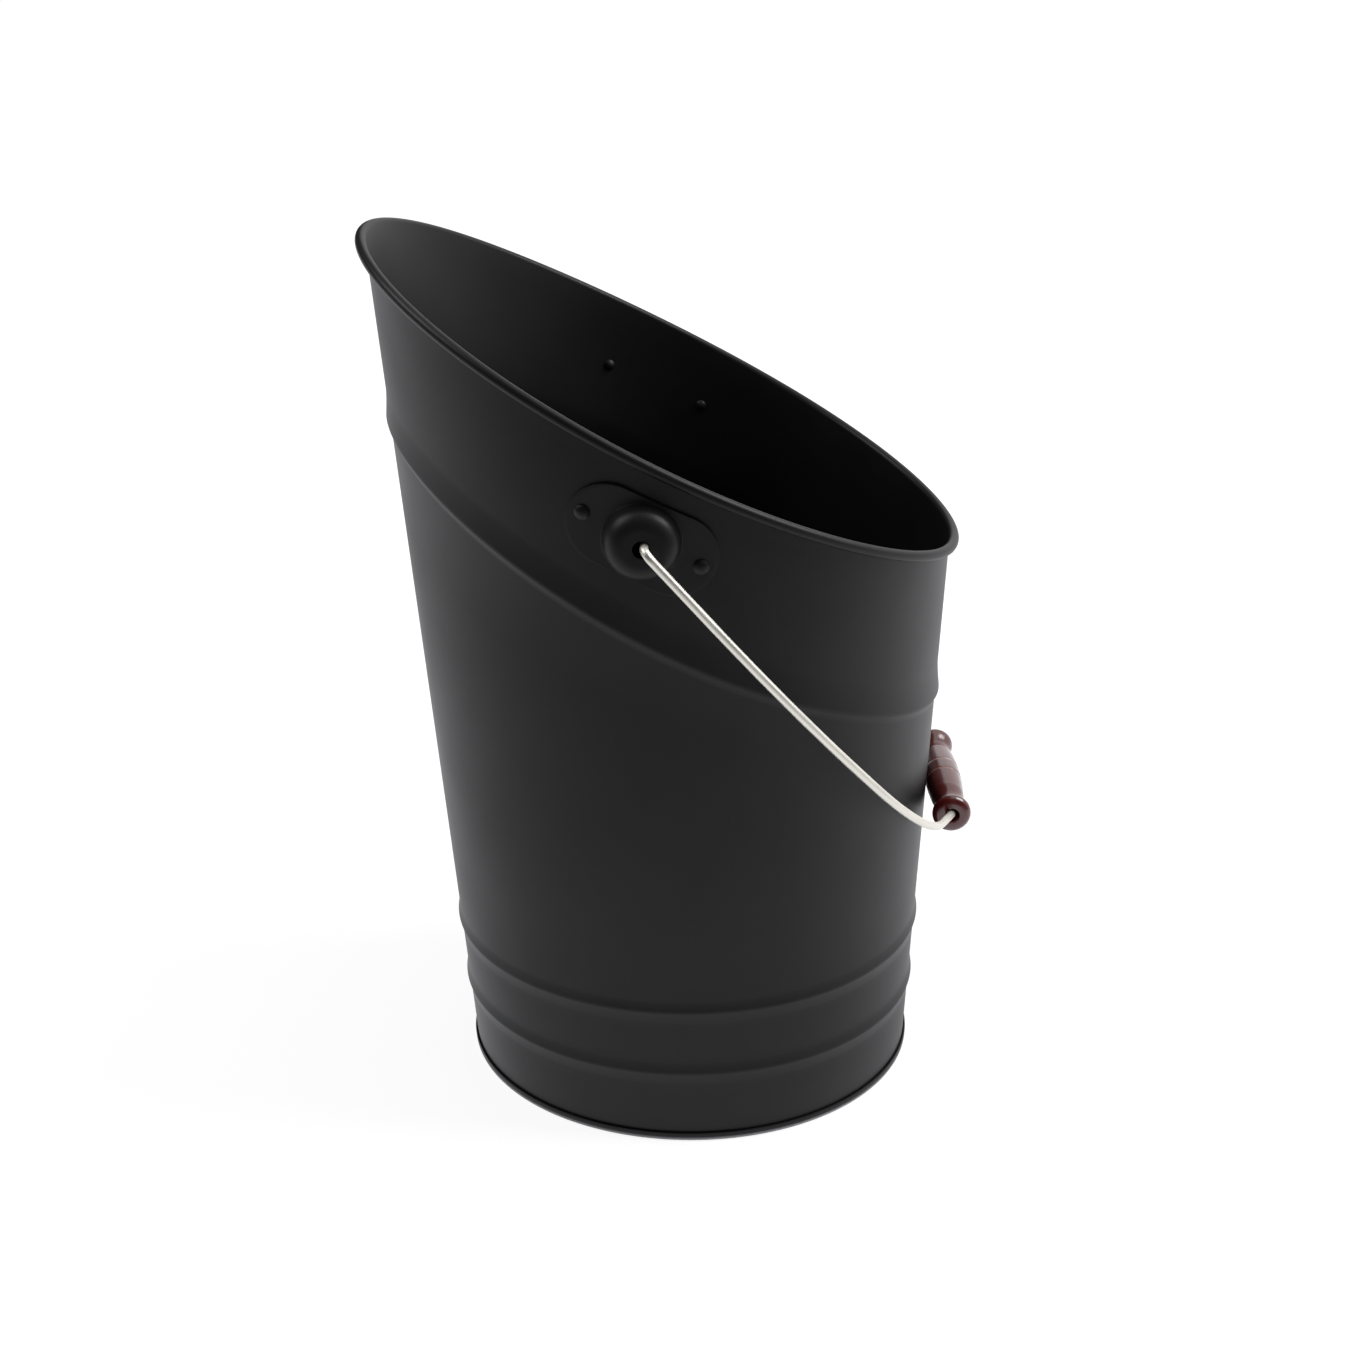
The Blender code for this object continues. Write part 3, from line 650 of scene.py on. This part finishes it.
def boss_root_radius():
    """Radius at which the boss's fillet meets the plate."""
    drops = (BOSS_SHOULDER + BOSS_FILLET) * (1 - math.cos(BOSS_SIDE_ANGLE))
    run = (BOSS_HEIGHT - drops) / math.tan(BOSS_SIDE_ANGLE)
    return BOSS_FACE_RADIUS + (BOSS_SHOULDER + BOSS_FILLET) * math.sin(BOSS_SIDE_ANGLE) + run


BOSS_ROOT_RADIUS = boss_root_radius()
EAR_HALF_WIDTH = BOSS_ROOT_RADIUS + EAR_MARGIN
EAR_HOLE_RADIUS = BAIL_WIRE_RADIUS + EAR_HOLE_PLAY + GAP


def ear_outline(angle):
    """Distance from the boss's centre to the plate's outline, which has round ends."""
    straight = EAR_LENGTH / 2 - EAR_HALF_WIDTH
    ahead, aside = abs(math.cos(angle)), abs(math.sin(angle))
    if ahead * EAR_HALF_WIDTH <= straight * aside:
        return EAR_HALF_WIDTH / aside
    return straight * ahead + math.sqrt(EAR_HALF_WIDTH ** 2 - (straight * aside) ** 2)


def boss_rings():
    """Rings from the hole to the boss's root: radius and share of the boss's rise."""
    for step in range(BOSS_FACE_STEPS):
        yield EAR_HOLE_RADIUS + (BOSS_FACE_RADIUS - EAR_HOLE_RADIUS) * step / BOSS_FACE_STEPS, 1.0
    for turn in arc(BOSS_SHOULDER_STEPS, 0, math.degrees(BOSS_SIDE_ANGLE)):
        drop = BOSS_SHOULDER * (1 - math.cos(turn))
        yield BOSS_FACE_RADIUS + BOSS_SHOULDER * math.sin(turn), 1 - drop / BOSS_HEIGHT
    for turn in arc(BOSS_FILLET_STEPS, math.degrees(BOSS_SIDE_ANGLE), 0):
        rise = BOSS_FILLET * (1 - math.cos(turn))
        yield BOSS_ROOT_RADIUS - BOSS_FILLET * math.sin(turn), rise / BOSS_HEIGHT


def plate_point(along, across, side):
    """Point of an ear's middle layer. The plate is bent along its length only, and its long edges
    stand off the wall."""
    x, z = ear_place(along, 0)
    angle = wall_angle(x, z, side)
    normal = wall_normal(WALL, angle, z)
    run, rise = across * math.sin(EAR_TILT), across * math.cos(EAR_TILT)
    fall = -(run * normal[0] + rise * normal[2]) / normal[1]
    return Vector(wall_point(WALL, angle, z, GAP + EAR_SHEET / 2)) + Vector((run, fall, rise))


def ear_rows(side):
    """Rings of an ear's sheet, which follows the wall and rises to the boss's flat face."""
    def ring(radius, share):
        def at(angle):
            reach = radius(angle)
            along, across = reach * math.cos(angle), reach * math.sin(angle)
            x, z = ear_place(along, across)
            face = Vector((x, side * (FACE_Y - EAR_SHEET / 2), z))
            return plate_point(along, across, side).lerp(face, share)
        return at
    rows = [ring(lambda angle, radius=radius: radius, share) for radius, share in boss_rings()]
    for step in range(1, PLATE_STEPS + 1):
        rows.append(ring(lambda angle, share=step / PLATE_STEPS: BOSS_ROOT_RADIUS
                         + (ear_outline(angle) - BOSS_ROOT_RADIUS) * share, 0.0))
    return rows


def add_ears(material):
    """Ears with their hollow bosses."""
    for side, face in ((-1, "front"), (1, "back")):
        ear = lofted(f"{face}_ear_with_boss", ear_rows(side), EAR_COLUMNS, material)
        thicken(ear, EAR_SHEET)
        bevel(ear, EAR_EDGE_STEPS)
        place_piece(baked(ear), "bucket", "black_coat", f"ear_{face}")


def dome(radius, height, first, last, steps):
    """Points of a low dome's outline, from one share of its radius to another, above height 0."""
    sphere = (radius ** 2 + height ** 2) / (2 * height)
    span = math.asin(radius / sphere)
    for step in range(steps + 1):
        turn = span * (first + (last - first) * step / steps)
        yield sphere * math.sin(turn), sphere * math.cos(turn) - (sphere - height)


def rivet_profile():
    """Outline of a rivet: radius and height above the wall, from its head's top to its tail."""
    seat = 2 * GAP + EAR_SHEET
    under = -WALL["Sheet"] - GAP
    top = dome(RIVET_HEAD_RADIUS, RIVET_HEAD_HEIGHT - RIVET_BRIM, 0, 1, RIVET_HEAD_STEPS)
    tail = dome(RIVET_TAIL_RADIUS, RIVET_TAIL_HEIGHT, 1, 0, RIVET_TAIL_STEPS)
    shank = [(RIVET_HEAD_RADIUS, seat), (RIVET_SHANK_RADIUS, seat), (RIVET_SHANK_RADIUS, under)]
    return ([(radius, seat + RIVET_BRIM + height) for radius, height in top] + shank
            + [(radius, under - height) for radius, height in tail])


def turned(name, profile, closed, steps):
    """Object turned about Z from an outline of radius and height."""
    mesh = bpy.data.meshes.new(name)
    edges = [(index, index + 1) for index in range(len(profile) - 1)]
    if closed:
        edges.append((len(profile) - 1, 0))
    mesh.from_pydata([(radius, 0, height) for radius, height in profile], edges, [])
    piece = new_object(name, mesh)
    screw = piece.modifiers.new("turned", "SCREW")
    screw.steps = steps
    screw.render_steps = steps
    screw.use_merge_vertices = True
    screw.merge_threshold = MERGE_DISTANCE
    return piece


def rivet_tree(rivet, material):
    """Tree that sets a rivet on each point, square to the wall there."""
    tree, entry, _ = new_tree("rivets_on_points", {}, takes_geometry=True)
    sample = add_node(tree, "GeometryNodeObjectInfo", Object=rivet)
    out = add_node(tree, "GeometryNodeInputNamedAttribute", {"data_type": "FLOAT_VECTOR"},
                   Name="out")
    turn = add_node(tree, "FunctionNodeAlignRotationToVector", {"axis": "Z"}, Vector=out)
    copies = add_node(tree, "GeometryNodeInstanceOnPoints", Points=entry,
                      Instance=sample.outputs["Geometry"], Rotation=turn)
    end_tree(tree, copies, material)
    return tree


def add_rivets(material):
    """Four rivets through the ears and the wall."""
    places, directions = [], []
    for side in (-1, 1):
        for end in (-1, 1):
            x, z = ear_place(end * RIVET_PITCH / 2, 0)
            angle = wall_angle(x, z, side)
            places.append(wall_point(WALL, angle, z))
            directions.append(wall_normal(WALL, angle, z))
    points = bpy.data.meshes.new("ear_rivets")
    points.from_pydata(places, [], [])
    out = points.attributes.new("out", "FLOAT_VECTOR", "POINT")
    for item, direction in zip(out.data, directions):
        item.vector = direction
    rivet = turned("rivet_pattern", rivet_profile(), False, RIVET_COLUMNS)
    rivets = baked(grown("ear_rivets", rivet_tree(rivet, material), {}, points))
    bpy.data.objects.remove(rivet, do_unlink=True)
    place_piece(rivets, "bucket", "black_coat", "rivet_front_high", "rivet_front_low",
                "rivet_back_high", "rivet_back_low")


def bail_headings():
    """Headings of the wire after each bend, from the grip outwards: 0 runs along the grip."""
    arm = math.radians(90) - ARM_TAPER
    bow = arm - ARM_BOW_ANGLE
    crown = bow - CROWN_BEND_ANGLE
    return crown, bow, arm, math.pi


def bail_straights():
    """Lengths of the wire's straights below the wide bend and above the bowed arm."""
    crown, bow, arm, leg = bail_headings()
    start = GRIP_HALF_LENGTH - GRIP_BEND_INSET - GRIP_BEND * math.tan(crown / 2)
    across = (start + GRIP_BEND * math.sin(crown) + CROWN_BEND * (math.sin(bow) - math.sin(crown))
              + ARM_BOW * (math.sin(arm) - math.sin(bow)) + EAR_BEND * (1 - math.sin(arm)))
    back = (GRIP_BEND * (1 - math.cos(crown)) + CROWN_BEND * (math.cos(crown) - math.cos(bow))
            + ARM_BOW * (math.cos(bow) - math.cos(arm))
            + EAR_BEND * (math.cos(arm) - math.cos(leg)))
    span = BAIL_HALF_SPAN - BAIL_WIRE_RADIUS - across
    reach = BAIL_REACH - back
    scale = math.cos(crown) * math.sin(arm) - math.sin(crown) * math.cos(arm)
    lower = (span * math.sin(arm) - reach * math.cos(arm)) / scale
    upper = (reach * math.cos(crown) - span * math.sin(crown)) / scale
    return start, lower, upper


def bail_half():
    """Centre line of half of the bail: distance from the swing axis and place along it."""
    crown, bow, arm, leg = bail_headings()
    start, lower, upper = bail_straights()
    points = [Vector((BAIL_REACH, 0)), Vector((BAIL_REACH, start))]
    heading = 0.0
    for radius, after, steps, straight in (
            (GRIP_BEND, crown, GRIP_BEND_STEPS, lower), (CROWN_BEND, bow, CROWN_BEND_STEPS, 0.0),
            (ARM_BOW, arm, ARM_BOW_STEPS, upper), (EAR_BEND, leg, EAR_BEND_STEPS, 0.0)):
        corner = points[-1]
        for step in range(1, steps + 1):
            turn = heading + (after - heading) * step / steps
            run = Vector((math.cos(turn) - math.cos(heading), math.sin(turn) - math.sin(heading)))
            points.append(corner + run * radius)
        heading = after
        if straight > 0:
            points.append(points[-1] + Vector((-math.sin(after), math.cos(after))) * straight)
    for share in WIRE_END_PLACES:
        points.append(Vector((points[-1].x, FACE_Y - LEG_LENGTH + WIRE_END_ROUNDING * share)))
    return points


def wire_tree(material):
    """Tree that draws a round wire along a line and keeps the straight wire's coordinates."""
    sizes = {"Wire Radius": BAIL_WIRE_RADIUS, "End Rounding": WIRE_END_ROUNDING}
    tree, entry, fields = new_tree("round_wire", sizes, takes_geometry=True)
    line = add_node(tree, "GeometryNodeMeshToCurve", Mesh=entry)
    place = tree.nodes.new("GeometryNodeSplineParameter")
    total = tree.nodes.new("GeometryNodeSplineLength")
    length = Field(tree, place.outputs["Length"])
    from_end = length.maths("MINIMUM", Field(tree, total.outputs["Length"]) - length)
    share = (from_end / fields["End Rounding"]).maths("MINIMUM", 1.0)
    softened = 1 - (1 - share) * (1 - share) * WIRE_END_NARROWING
    shaped = add_node(tree, "GeometryNodeSetCurveRadius", Curve=line, Radius=softened)
    along = add_node(tree, "GeometryNodeCaptureAttribute", Geometry=shaped)
    along.capture_items.new("FLOAT", "Along")
    plug(tree, along.inputs["Along"], length)
    section = add_node(tree, "GeometryNodeCurvePrimitiveCircle", Radius=fields["Wire Radius"],
                       Resolution=WIRE_SIDES)
    around = add_node(tree, "GeometryNodeCaptureAttribute", Geometry=section)
    around.capture_items.new("VECTOR", "Section")
    plug(tree, around.inputs["Section"], tree.nodes.new("GeometryNodeInputPosition"))
    radius = tree.nodes.new("GeometryNodeInputRadius")
    tube = add_node(tree, "GeometryNodeCurveToMesh", Curve=along,
                    Profile_Curve=around, Scale=radius, Fill_Caps=True)
    x, y, _ = split(tree, around.outputs["Section"])
    stored = add_node(tree, "GeometryNodeStoreNamedAttribute", {"data_type": "FLOAT_VECTOR"},
                      Geometry=tube, Name="straight_wire",
                      Value=vector_of(tree, (x, y, along.outputs["Along"])))
    end_tree(tree, stored, material)
    return tree, sizes


def add_bail(material):
    """Bail wire from ear to ear, through the grip."""
    half = bail_half()
    flat = [Vector((point.x, -point.y)) for point in reversed(half[1:])] + half
    line = bpy.data.meshes.new("bail_of_drawn_wire")
    line.from_pydata([PIVOT + BAIL_DIRECTION * point.x + Vector((0, point.y, 0)) for point in flat],
                     [(index, index + 1) for index in range(len(flat) - 1)], [])
    tree, sizes = wire_tree(material)
    wire = baked(grown("bail_of_drawn_wire", tree, sizes, line))
    place_piece(wire, "bail", "bright_wire", "bail_wire")


def smooth_step(first, last, steps):
    """Points of a smooth rise or fall between two places, without the first."""
    run, rise = last[0] - first[0], last[1] - first[1]
    for step in range(1, steps + 1):
        share = (1 - math.cos(math.pi * step / steps)) / 2
        yield first[0] + run * step / steps, first[1] + rise * share


def barrel_radius(place):
    """Radius of the grip's barrel at a distance from its middle, with the incised ring."""
    fall = (GRIP_CROWN_RADIUS - GRIP_SHOULDER_RADIUS) * (place / GRIP_BARREL_HALF) ** 2
    aside = abs(place - GRIP_RING_PLACE) / (GRIP_RING_WIDTH / 2)
    ring = GRIP_RING_DEPTH * (1 + math.cos(math.pi * min(aside, 1.0))) / 2
    return GRIP_CROWN_RADIUS - fall - ring


def grip_half():
    """Half of the grip's turned outline: distance from the middle and radius."""
    places = [GRIP_BARREL_HALF * step / GRIP_BARREL_STEPS for step in range(GRIP_BARREL_STEPS + 1)]
    places += [GRIP_RING_PLACE + GRIP_RING_WIDTH * (step / GRIP_RING_STEPS - 0.5)
               for step in range(GRIP_RING_STEPS + 1)]
    points = [(place, barrel_radius(place)) for place in sorted(set(places))]
    neck = (GRIP_HALF_LENGTH - GRIP_NECK_INSET, GRIP_NECK_RADIUS)
    bead = (GRIP_HALF_LENGTH - GRIP_BEAD_INSET, GRIP_BEAD_RADIUS)
    points += smooth_step(points[-1], neck, GRIP_NECK_STEPS)
    points += smooth_step(neck, bead, GRIP_NECK_STEPS)
    for turn in arc(GRIP_END_STEPS, GRIP_END_FIRST, 90):
        points.append((bead[0] + GRIP_BEAD_INSET * math.sin(turn),
                       GRIP_END_RADIUS + (GRIP_BEAD_RADIUS - GRIP_END_RADIUS) * math.cos(turn)))
    return points


def grip_profile():
    """Closed outline of the grip, down its outer side and up its bore."""
    half = grip_half()
    upper = [(radius, along) for along, radius in reversed(half)]
    lower = [(radius, -along) for along, radius in half[1:]]
    edge = [(GRIP_BORE_RADIUS + GRIP_BORE_EDGE * (1 - math.cos(turn)),
             GRIP_HALF_LENGTH - GRIP_BORE_EDGE * (1 - math.sin(turn)))
            for turn in arc(GRIP_BORE_STEPS, 0, 90)]
    return upper + lower + [(radius, -along) for radius, along in reversed(edge)] + edge


def add_grip(material):
    """Turned wooden grip on the bail."""
    grip = turned("turned_wooden_grip", grip_profile(), True, GRIP_COLUMNS)
    grip.data.materials.append(material)
    piece = baked(grip)
    piece.data.transform(Matrix.Translation(GRIP_PLACE) @ Matrix.Rotation(math.pi / 2, 4, "X"))
    place_piece(piece, "grip", "red_lacquer", "grip")


def ramp(tree, value, low_from, high_from, low, high=1.0):
    """Value that goes evenly from low to high between two places, and holds outside them."""
    rise = add_node(tree, "ShaderNodeMapRange", Value=value, From_Min=low_from, From_Max=high_from,
                    To_Min=low, To_Max=high)
    return Field(tree, rise.outputs[0])


def new_group(name, inputs, output):
    """Shader group of a place and numbers. Returns it, its place, its output and its numbers."""
    tree = bpy.data.node_groups.new(name, "ShaderNodeTree")
    tree.interface.new_socket("Place", in_out="INPUT", socket_type="NodeSocketVector")
    for label, value in inputs.items():
        socket = tree.interface.new_socket(label, in_out="INPUT", socket_type="NodeSocketFloat")
        socket.default_value = value
    tree.interface.new_socket(output, in_out="OUTPUT", socket_type="NodeSocketFloat")
    entry = tree.nodes.new("NodeGroupInput")
    leave = tree.nodes.new("NodeGroupOutput")
    fields = {label: Field(tree, entry.outputs[label]) for label in inputs}
    return tree, entry.outputs["Place"], leave.inputs[output], fields


def noise(tree, place, scale, detail):
    """Cloudy noise around a half."""
    node = add_node(tree, "ShaderNodeTexNoise", Vector=place, Scale=scale, Detail=detail)
    return Field(tree, node.outputs["Fac"])


def unevenness():
    """Group: soft cloudy change between two values, for colour and gloss."""
    inputs = {"Scale": 30.0, "Detail": 4.0, "Low": 0.0, "High": 1.0}
    tree, place, result, fields = new_group("unevenness", inputs, "Value")
    clouds = noise(tree, place, fields["Scale"], fields["Detail"])
    plug(tree, result, ramp(tree, clouds, *CLOUD_SPREAD, fields["Low"], fields["High"]))
    return tree


def grain():
    """Group: fine grain for bumps, of small pits and low waves."""
    inputs = {"Pit Scale": 1400.0, "Wave Scale": 220.0, "Wave Share": 0.3}
    tree, place, result, fields = new_group("grain", inputs, "Height")
    pit = noise(tree, place, fields["Pit Scale"], detail=2.0)
    wave = noise(tree, place, fields["Wave Scale"], detail=1.0)
    plug(tree, result, pit + (wave - pit) * fields["Wave Share"])
    return tree


GROUPS = {"unevenness": unevenness(), "grain": grain()}


def new_material(name):
    """Material with its tree and its Principled shader."""
    material = bpy.data.materials.new(name)
    material.use_nodes = True
    tree = material.node_tree
    return material, tree, tree.nodes["Principled BSDF"]


def effect(tree, name, place, **values):
    """Value or height that a shared group puts out, with this material's own numbers."""
    node = tree.nodes.new("ShaderNodeGroup")
    node.node_tree = GROUPS[name]
    feed(tree, node, {"Place": place, **values})
    return Field(tree, node.outputs[0])


def varied(tree, place, ends, scale=1.0, detail=5.0):
    """Number that changes softly between two ends over a surface."""
    low, high = ends
    return effect(tree, "unevenness", place, Scale=scale, Detail=detail, Low=low, High=high)


def stretched_place(tree, place, scale):
    """Coordinates in noise cells, drawn out along one axis."""
    return add_node(tree, "ShaderNodeMapping", Vector=place, Scale=scale)


def object_place(tree):
    """Coordinates of the piece itself, in metres."""
    return tree.nodes.new("ShaderNodeTexCoord").outputs["Object"]


def roughen(tree, shader, height, strength, depth):
    """Small relief on a surface."""
    bump = add_node(tree, "ShaderNodeBump", Height=height, Strength=strength, Distance=depth)
    plug(tree, shader.inputs["Normal"], bump)


def powder_coat(name):
    """Black satin powder coat on steel, paler near the foot: a painted reflection of the white floor
    there, and the coat scuffed thin by the floor.
    """
    material, tree, shader = new_material(name)
    place = object_place(tree)
    # painted reflection: the coat is made paler near the foot, for the white floor seen in the hem,
    # and partly for the coat scuffed thin there
    foot_sheen_and_wear = ramp(tree, split(tree, place)[2], FOOT_SHEEN_AND_WEAR_FROM, FOOT_SHEEN_AND_WEAR_TO, FOOT_SHEEN_AND_WEAR, 0.0)
    tint = varied(tree, place, COAT_SHADE, COAT_SHADE_SCALE, detail=4.0) + foot_sheen_and_wear
    feed(tree, shader, {"Base Color": vector_of(tree, (tint, tint, tint * COAT_BLUE)),
                        "Roughness": varied(tree, place, COAT_GLOSS, COAT_GLOSS_SCALE),
                        "Specular IOR Level": COAT_SPECULAR})
    roughen(tree, shader, effect(tree, "grain", place), COAT_RELIEF, COAT_GRAIN)
    return material


def drawn_wire(name, attribute):
    """Bright zinc-plated wire with the fine streaks that drawing leaves."""
    material, tree, shader = new_material(name)
    if attribute:
        drawn = add_node(tree, "ShaderNodeAttribute", {"attribute_name": attribute})
        place = drawn.outputs["Vector"]
    else:
        place = object_place(tree)
    streaked = stretched_place(tree, place, WIRE_STREAKS)
    shade = varied(tree, streaked, WIRE_SHADE, detail=3.0)
    color = vector_of(tree, (shade, shade * WIRE_GREEN, shade * WIRE_BLUE))
    feed(tree, shader, {"Base Color": color, "Metallic": 1.0,
                        "Roughness": varied(tree, streaked, WIRE_GLOSS, detail=3.0)})
    streaks = effect(tree, "grain", streaked, Pit_Scale=1.0, Wave_Scale=0.3)
    roughen(tree, shader, streaks, WIRE_RELIEF, WIRE_GRAIN)
    return material


def lacquered_wood(name):
    """Dark red lacquer on turned wood, with the grain along the grip and a painted highlight in each
    incised ring.
    """
    material, tree, shader = new_material(name)
    place = object_place(tree)
    streaked = stretched_place(tree, place, WOOD_STREAKS)
    red = varied(tree, streaked, LACQUER_RED)
    # painted highlight: a light line in each incised ring, standing in for the highlight on the
    # groove's edge
    aside = (split(tree, place)[1].maths("ABSOLUTE") - GRIP_RING_PLACE).maths("ABSOLUTE")
    ring_highlight = ramp(tree, aside, GRIP_RING_WIDTH * RING_HIGHLIGHT_WITHIN, GRIP_RING_WIDTH * RING_HIGHLIGHT_UP_TO, 1.0, 0.0)
    # the second colour of each pair is that painted ring highlight, not bare wood
    color = [lacquer + ring_highlight * wood for lacquer, wood
             in zip((red, red * LACQUER_GREEN, red * LACQUER_BLUE), RING_HIGHLIGHT_SHADE)]
    feed(tree, shader, {"Base Color": vector_of(tree, color),
                        "Roughness": varied(tree, streaked, LACQUER_GLOSS),
                        "Specular IOR Level": LACQUER_SPECULAR, "Coat Weight": 1.0,
                        "Coat Roughness": LACQUER_COAT_ROUGHNESS, "Coat IOR": LACQUER_COAT_IOR})
    return material


def add_camera():
    """Camera at the photograph's place, direction and focal length."""
    ahead = Vector((-math.sin(CAMERA_AZIMUTH) * math.cos(CAMERA_ELEVATION),
                    math.cos(CAMERA_AZIMUTH) * math.cos(CAMERA_ELEVATION),
                    -math.sin(CAMERA_ELEVATION)))
    level = Vector((math.cos(CAMERA_AZIMUTH), math.sin(CAMERA_AZIMUTH), 0))
    upright = level.cross(ahead)
    right = level * math.cos(CAMERA_ROLL) + upright * math.sin(CAMERA_ROLL)
    up = upright * math.cos(CAMERA_ROLL) - level * math.sin(CAMERA_ROLL)
    data = bpy.data.cameras.new("camera")
    data.sensor_width = SENSOR_WIDTH
    data.lens = CAMERA_FOCAL_PIXELS / PHOTO_PIXELS * SENSOR_WIDTH
    camera = new_object("camera", data)
    camera.matrix_world = (Matrix.Translation(CAMERA_PLACE + Vector((FOOT_X, 0, 0)))
                           @ Matrix((right, up, -ahead)).transposed().to_4x4())
    bpy.context.scene.camera = camera


def mixed(tree, factor, first, second):
    """Mix of two shaders."""
    node = tree.nodes.new("ShaderNodeMixShader")
    for slot, value in zip(node.inputs, (factor, first, second)):
        plug(tree, slot, value)
    return node


def seen_straight(tree):
    """Two fields: one for the camera, one for the camera, gloss and glass, but not soft light."""
    path = tree.nodes.new("ShaderNodeLightPath")
    camera, gloss, glass = [Field(tree, path.outputs[label])
                            for label in ("Is Camera Ray", "Is Glossy Ray", "Is Transmission Ray")]
    return camera, camera.maths("MAXIMUM", gloss).maths("MAXIMUM", glass)


def add_floor():
    """Plain white floor, which shows white and keeps a soft shadow."""
    mesh = bpy.data.meshes.new("floor")
    corners = [(x * FLOOR_REACH, y * FLOOR_REACH, 0)
               for x, y in ((-1, -1), (1, -1), (1, 1), (-1, 1))]
    mesh.from_pydata(corners, [], [(0, 1, 2, 3)])
    floor = new_object("floor", mesh)
    material, tree, shader = new_material("white_floor")
    feed(tree, shader, {"Base Color": (FLOOR_PALE, FLOOR_PALE, FLOOR_PALE, 1.0),
                        "Roughness": FLOOR_ROUGHNESS, "Specular IOR Level": 0.0})
    camera, straight = seen_straight(tree)
    aside, ahead, _ = split(tree, object_place(tree))
    fade = ramp(tree, ahead - aside.maths("ABSOLUTE") * FLOOR_SIDE_SHARE,
                FLOOR_DARK_FROM, FLOOR_WHITE_FROM, FLOOR_FRONT)
    soft = add_node(tree, "ShaderNodeBsdfDiffuse",
                    Color=(FLOOR_SHADE, FLOOR_SHADE, FLOOR_SHADE, 1.0))
    shown = ramp(tree, root(aside * aside + ahead * ahead), FLOOR_NEAR, FLOOR_FAR, FLOOR_GLOW_NEAR)
    tone = camera.maths("MAXIMUM", FLOOR_COOL)
    glow = add_node(tree, "ShaderNodeEmission", Color=vector_of(tree, (tone, tone, 1.0)),
                    Strength=(fade * (1 - camera) + shown * camera) * FLOOR_GLOW)
    seen = tree.nodes.new("ShaderNodeAddShader")
    plug(tree, seen.inputs[0], soft)
    plug(tree, seen.inputs[1], glow)
    surface = mixed(tree, straight, shader, seen)
    plug(tree, tree.nodes["Material Output"].inputs["Surface"], surface)
    mesh.materials.append(material)


def add_world():
    """World that is white to the camera, darker on two sides in reflections and a soft light."""
    world = bpy.data.worlds.new("white_tent")
    bpy.context.scene.world = world
    world.use_nodes = True
    tree = world.node_tree
    tree.nodes.clear()
    camera, straight = seen_straight(tree)
    aside, ahead, _ = split(tree, tree.nodes.new("ShaderNodeTexCoord").outputs["Generated"])
    behind = ramp(tree, ahead, TENT_DARK_FROM, TENT_WHITE_FROM, TENT_FRONT)
    right = ramp(tree, aside, TENT_LEFT_FROM, TENT_RIGHT_FROM, TENT_LEFT)
    tent = add_node(tree, "ShaderNodeBackground", Color=(1.0, 1.0, 1.0, 1.0), Strength=TENT_LIGHT)
    seen = add_node(tree, "ShaderNodeBackground", Color=(1.0, 1.0, 1.0, 1.0),
                    Strength=(behind * right).maths("MAXIMUM", camera))
    out = tree.nodes.new("ShaderNodeOutputWorld")
    plug(tree, out.inputs["Surface"], mixed(tree, straight, tent, seen))


def add_light():
    """Square soft lamps from both sides and above, which face one point."""
    for name, place, side, power in SOFTBOXES:
        data = bpy.data.lights.new(name, "AREA")
        data.shape = "SQUARE"
        data.size = side
        data.energy = power
        lamp = new_object(name, data)
        lamp.location = place
        lamp.rotation_euler = (LIGHT_AIM - Vector(place)).to_track_quat("-Z", "Y").to_euler()


def build():
    """Dress the whole bucket."""
    add_camera()
    add_floor()
    add_world()
    add_light()
    coat = powder_coat("black_powder_coat")
    add_wall(coat)
    add_base(coat)
    add_ears(coat)
    add_rivets(coat)
    add_bail(drawn_wire("drawn_wire", "straight_wire"))
    add_grip(lacquered_wood("red_lacquered_wood"))
    rim = frame["nodes"]["rim_wire"].data
    rim.materials.clear()
    rim.materials.append(drawn_wire("rim_wire_zinc", ""))
    bpy.context.scene.view_settings.view_transform = "Standard"


build()
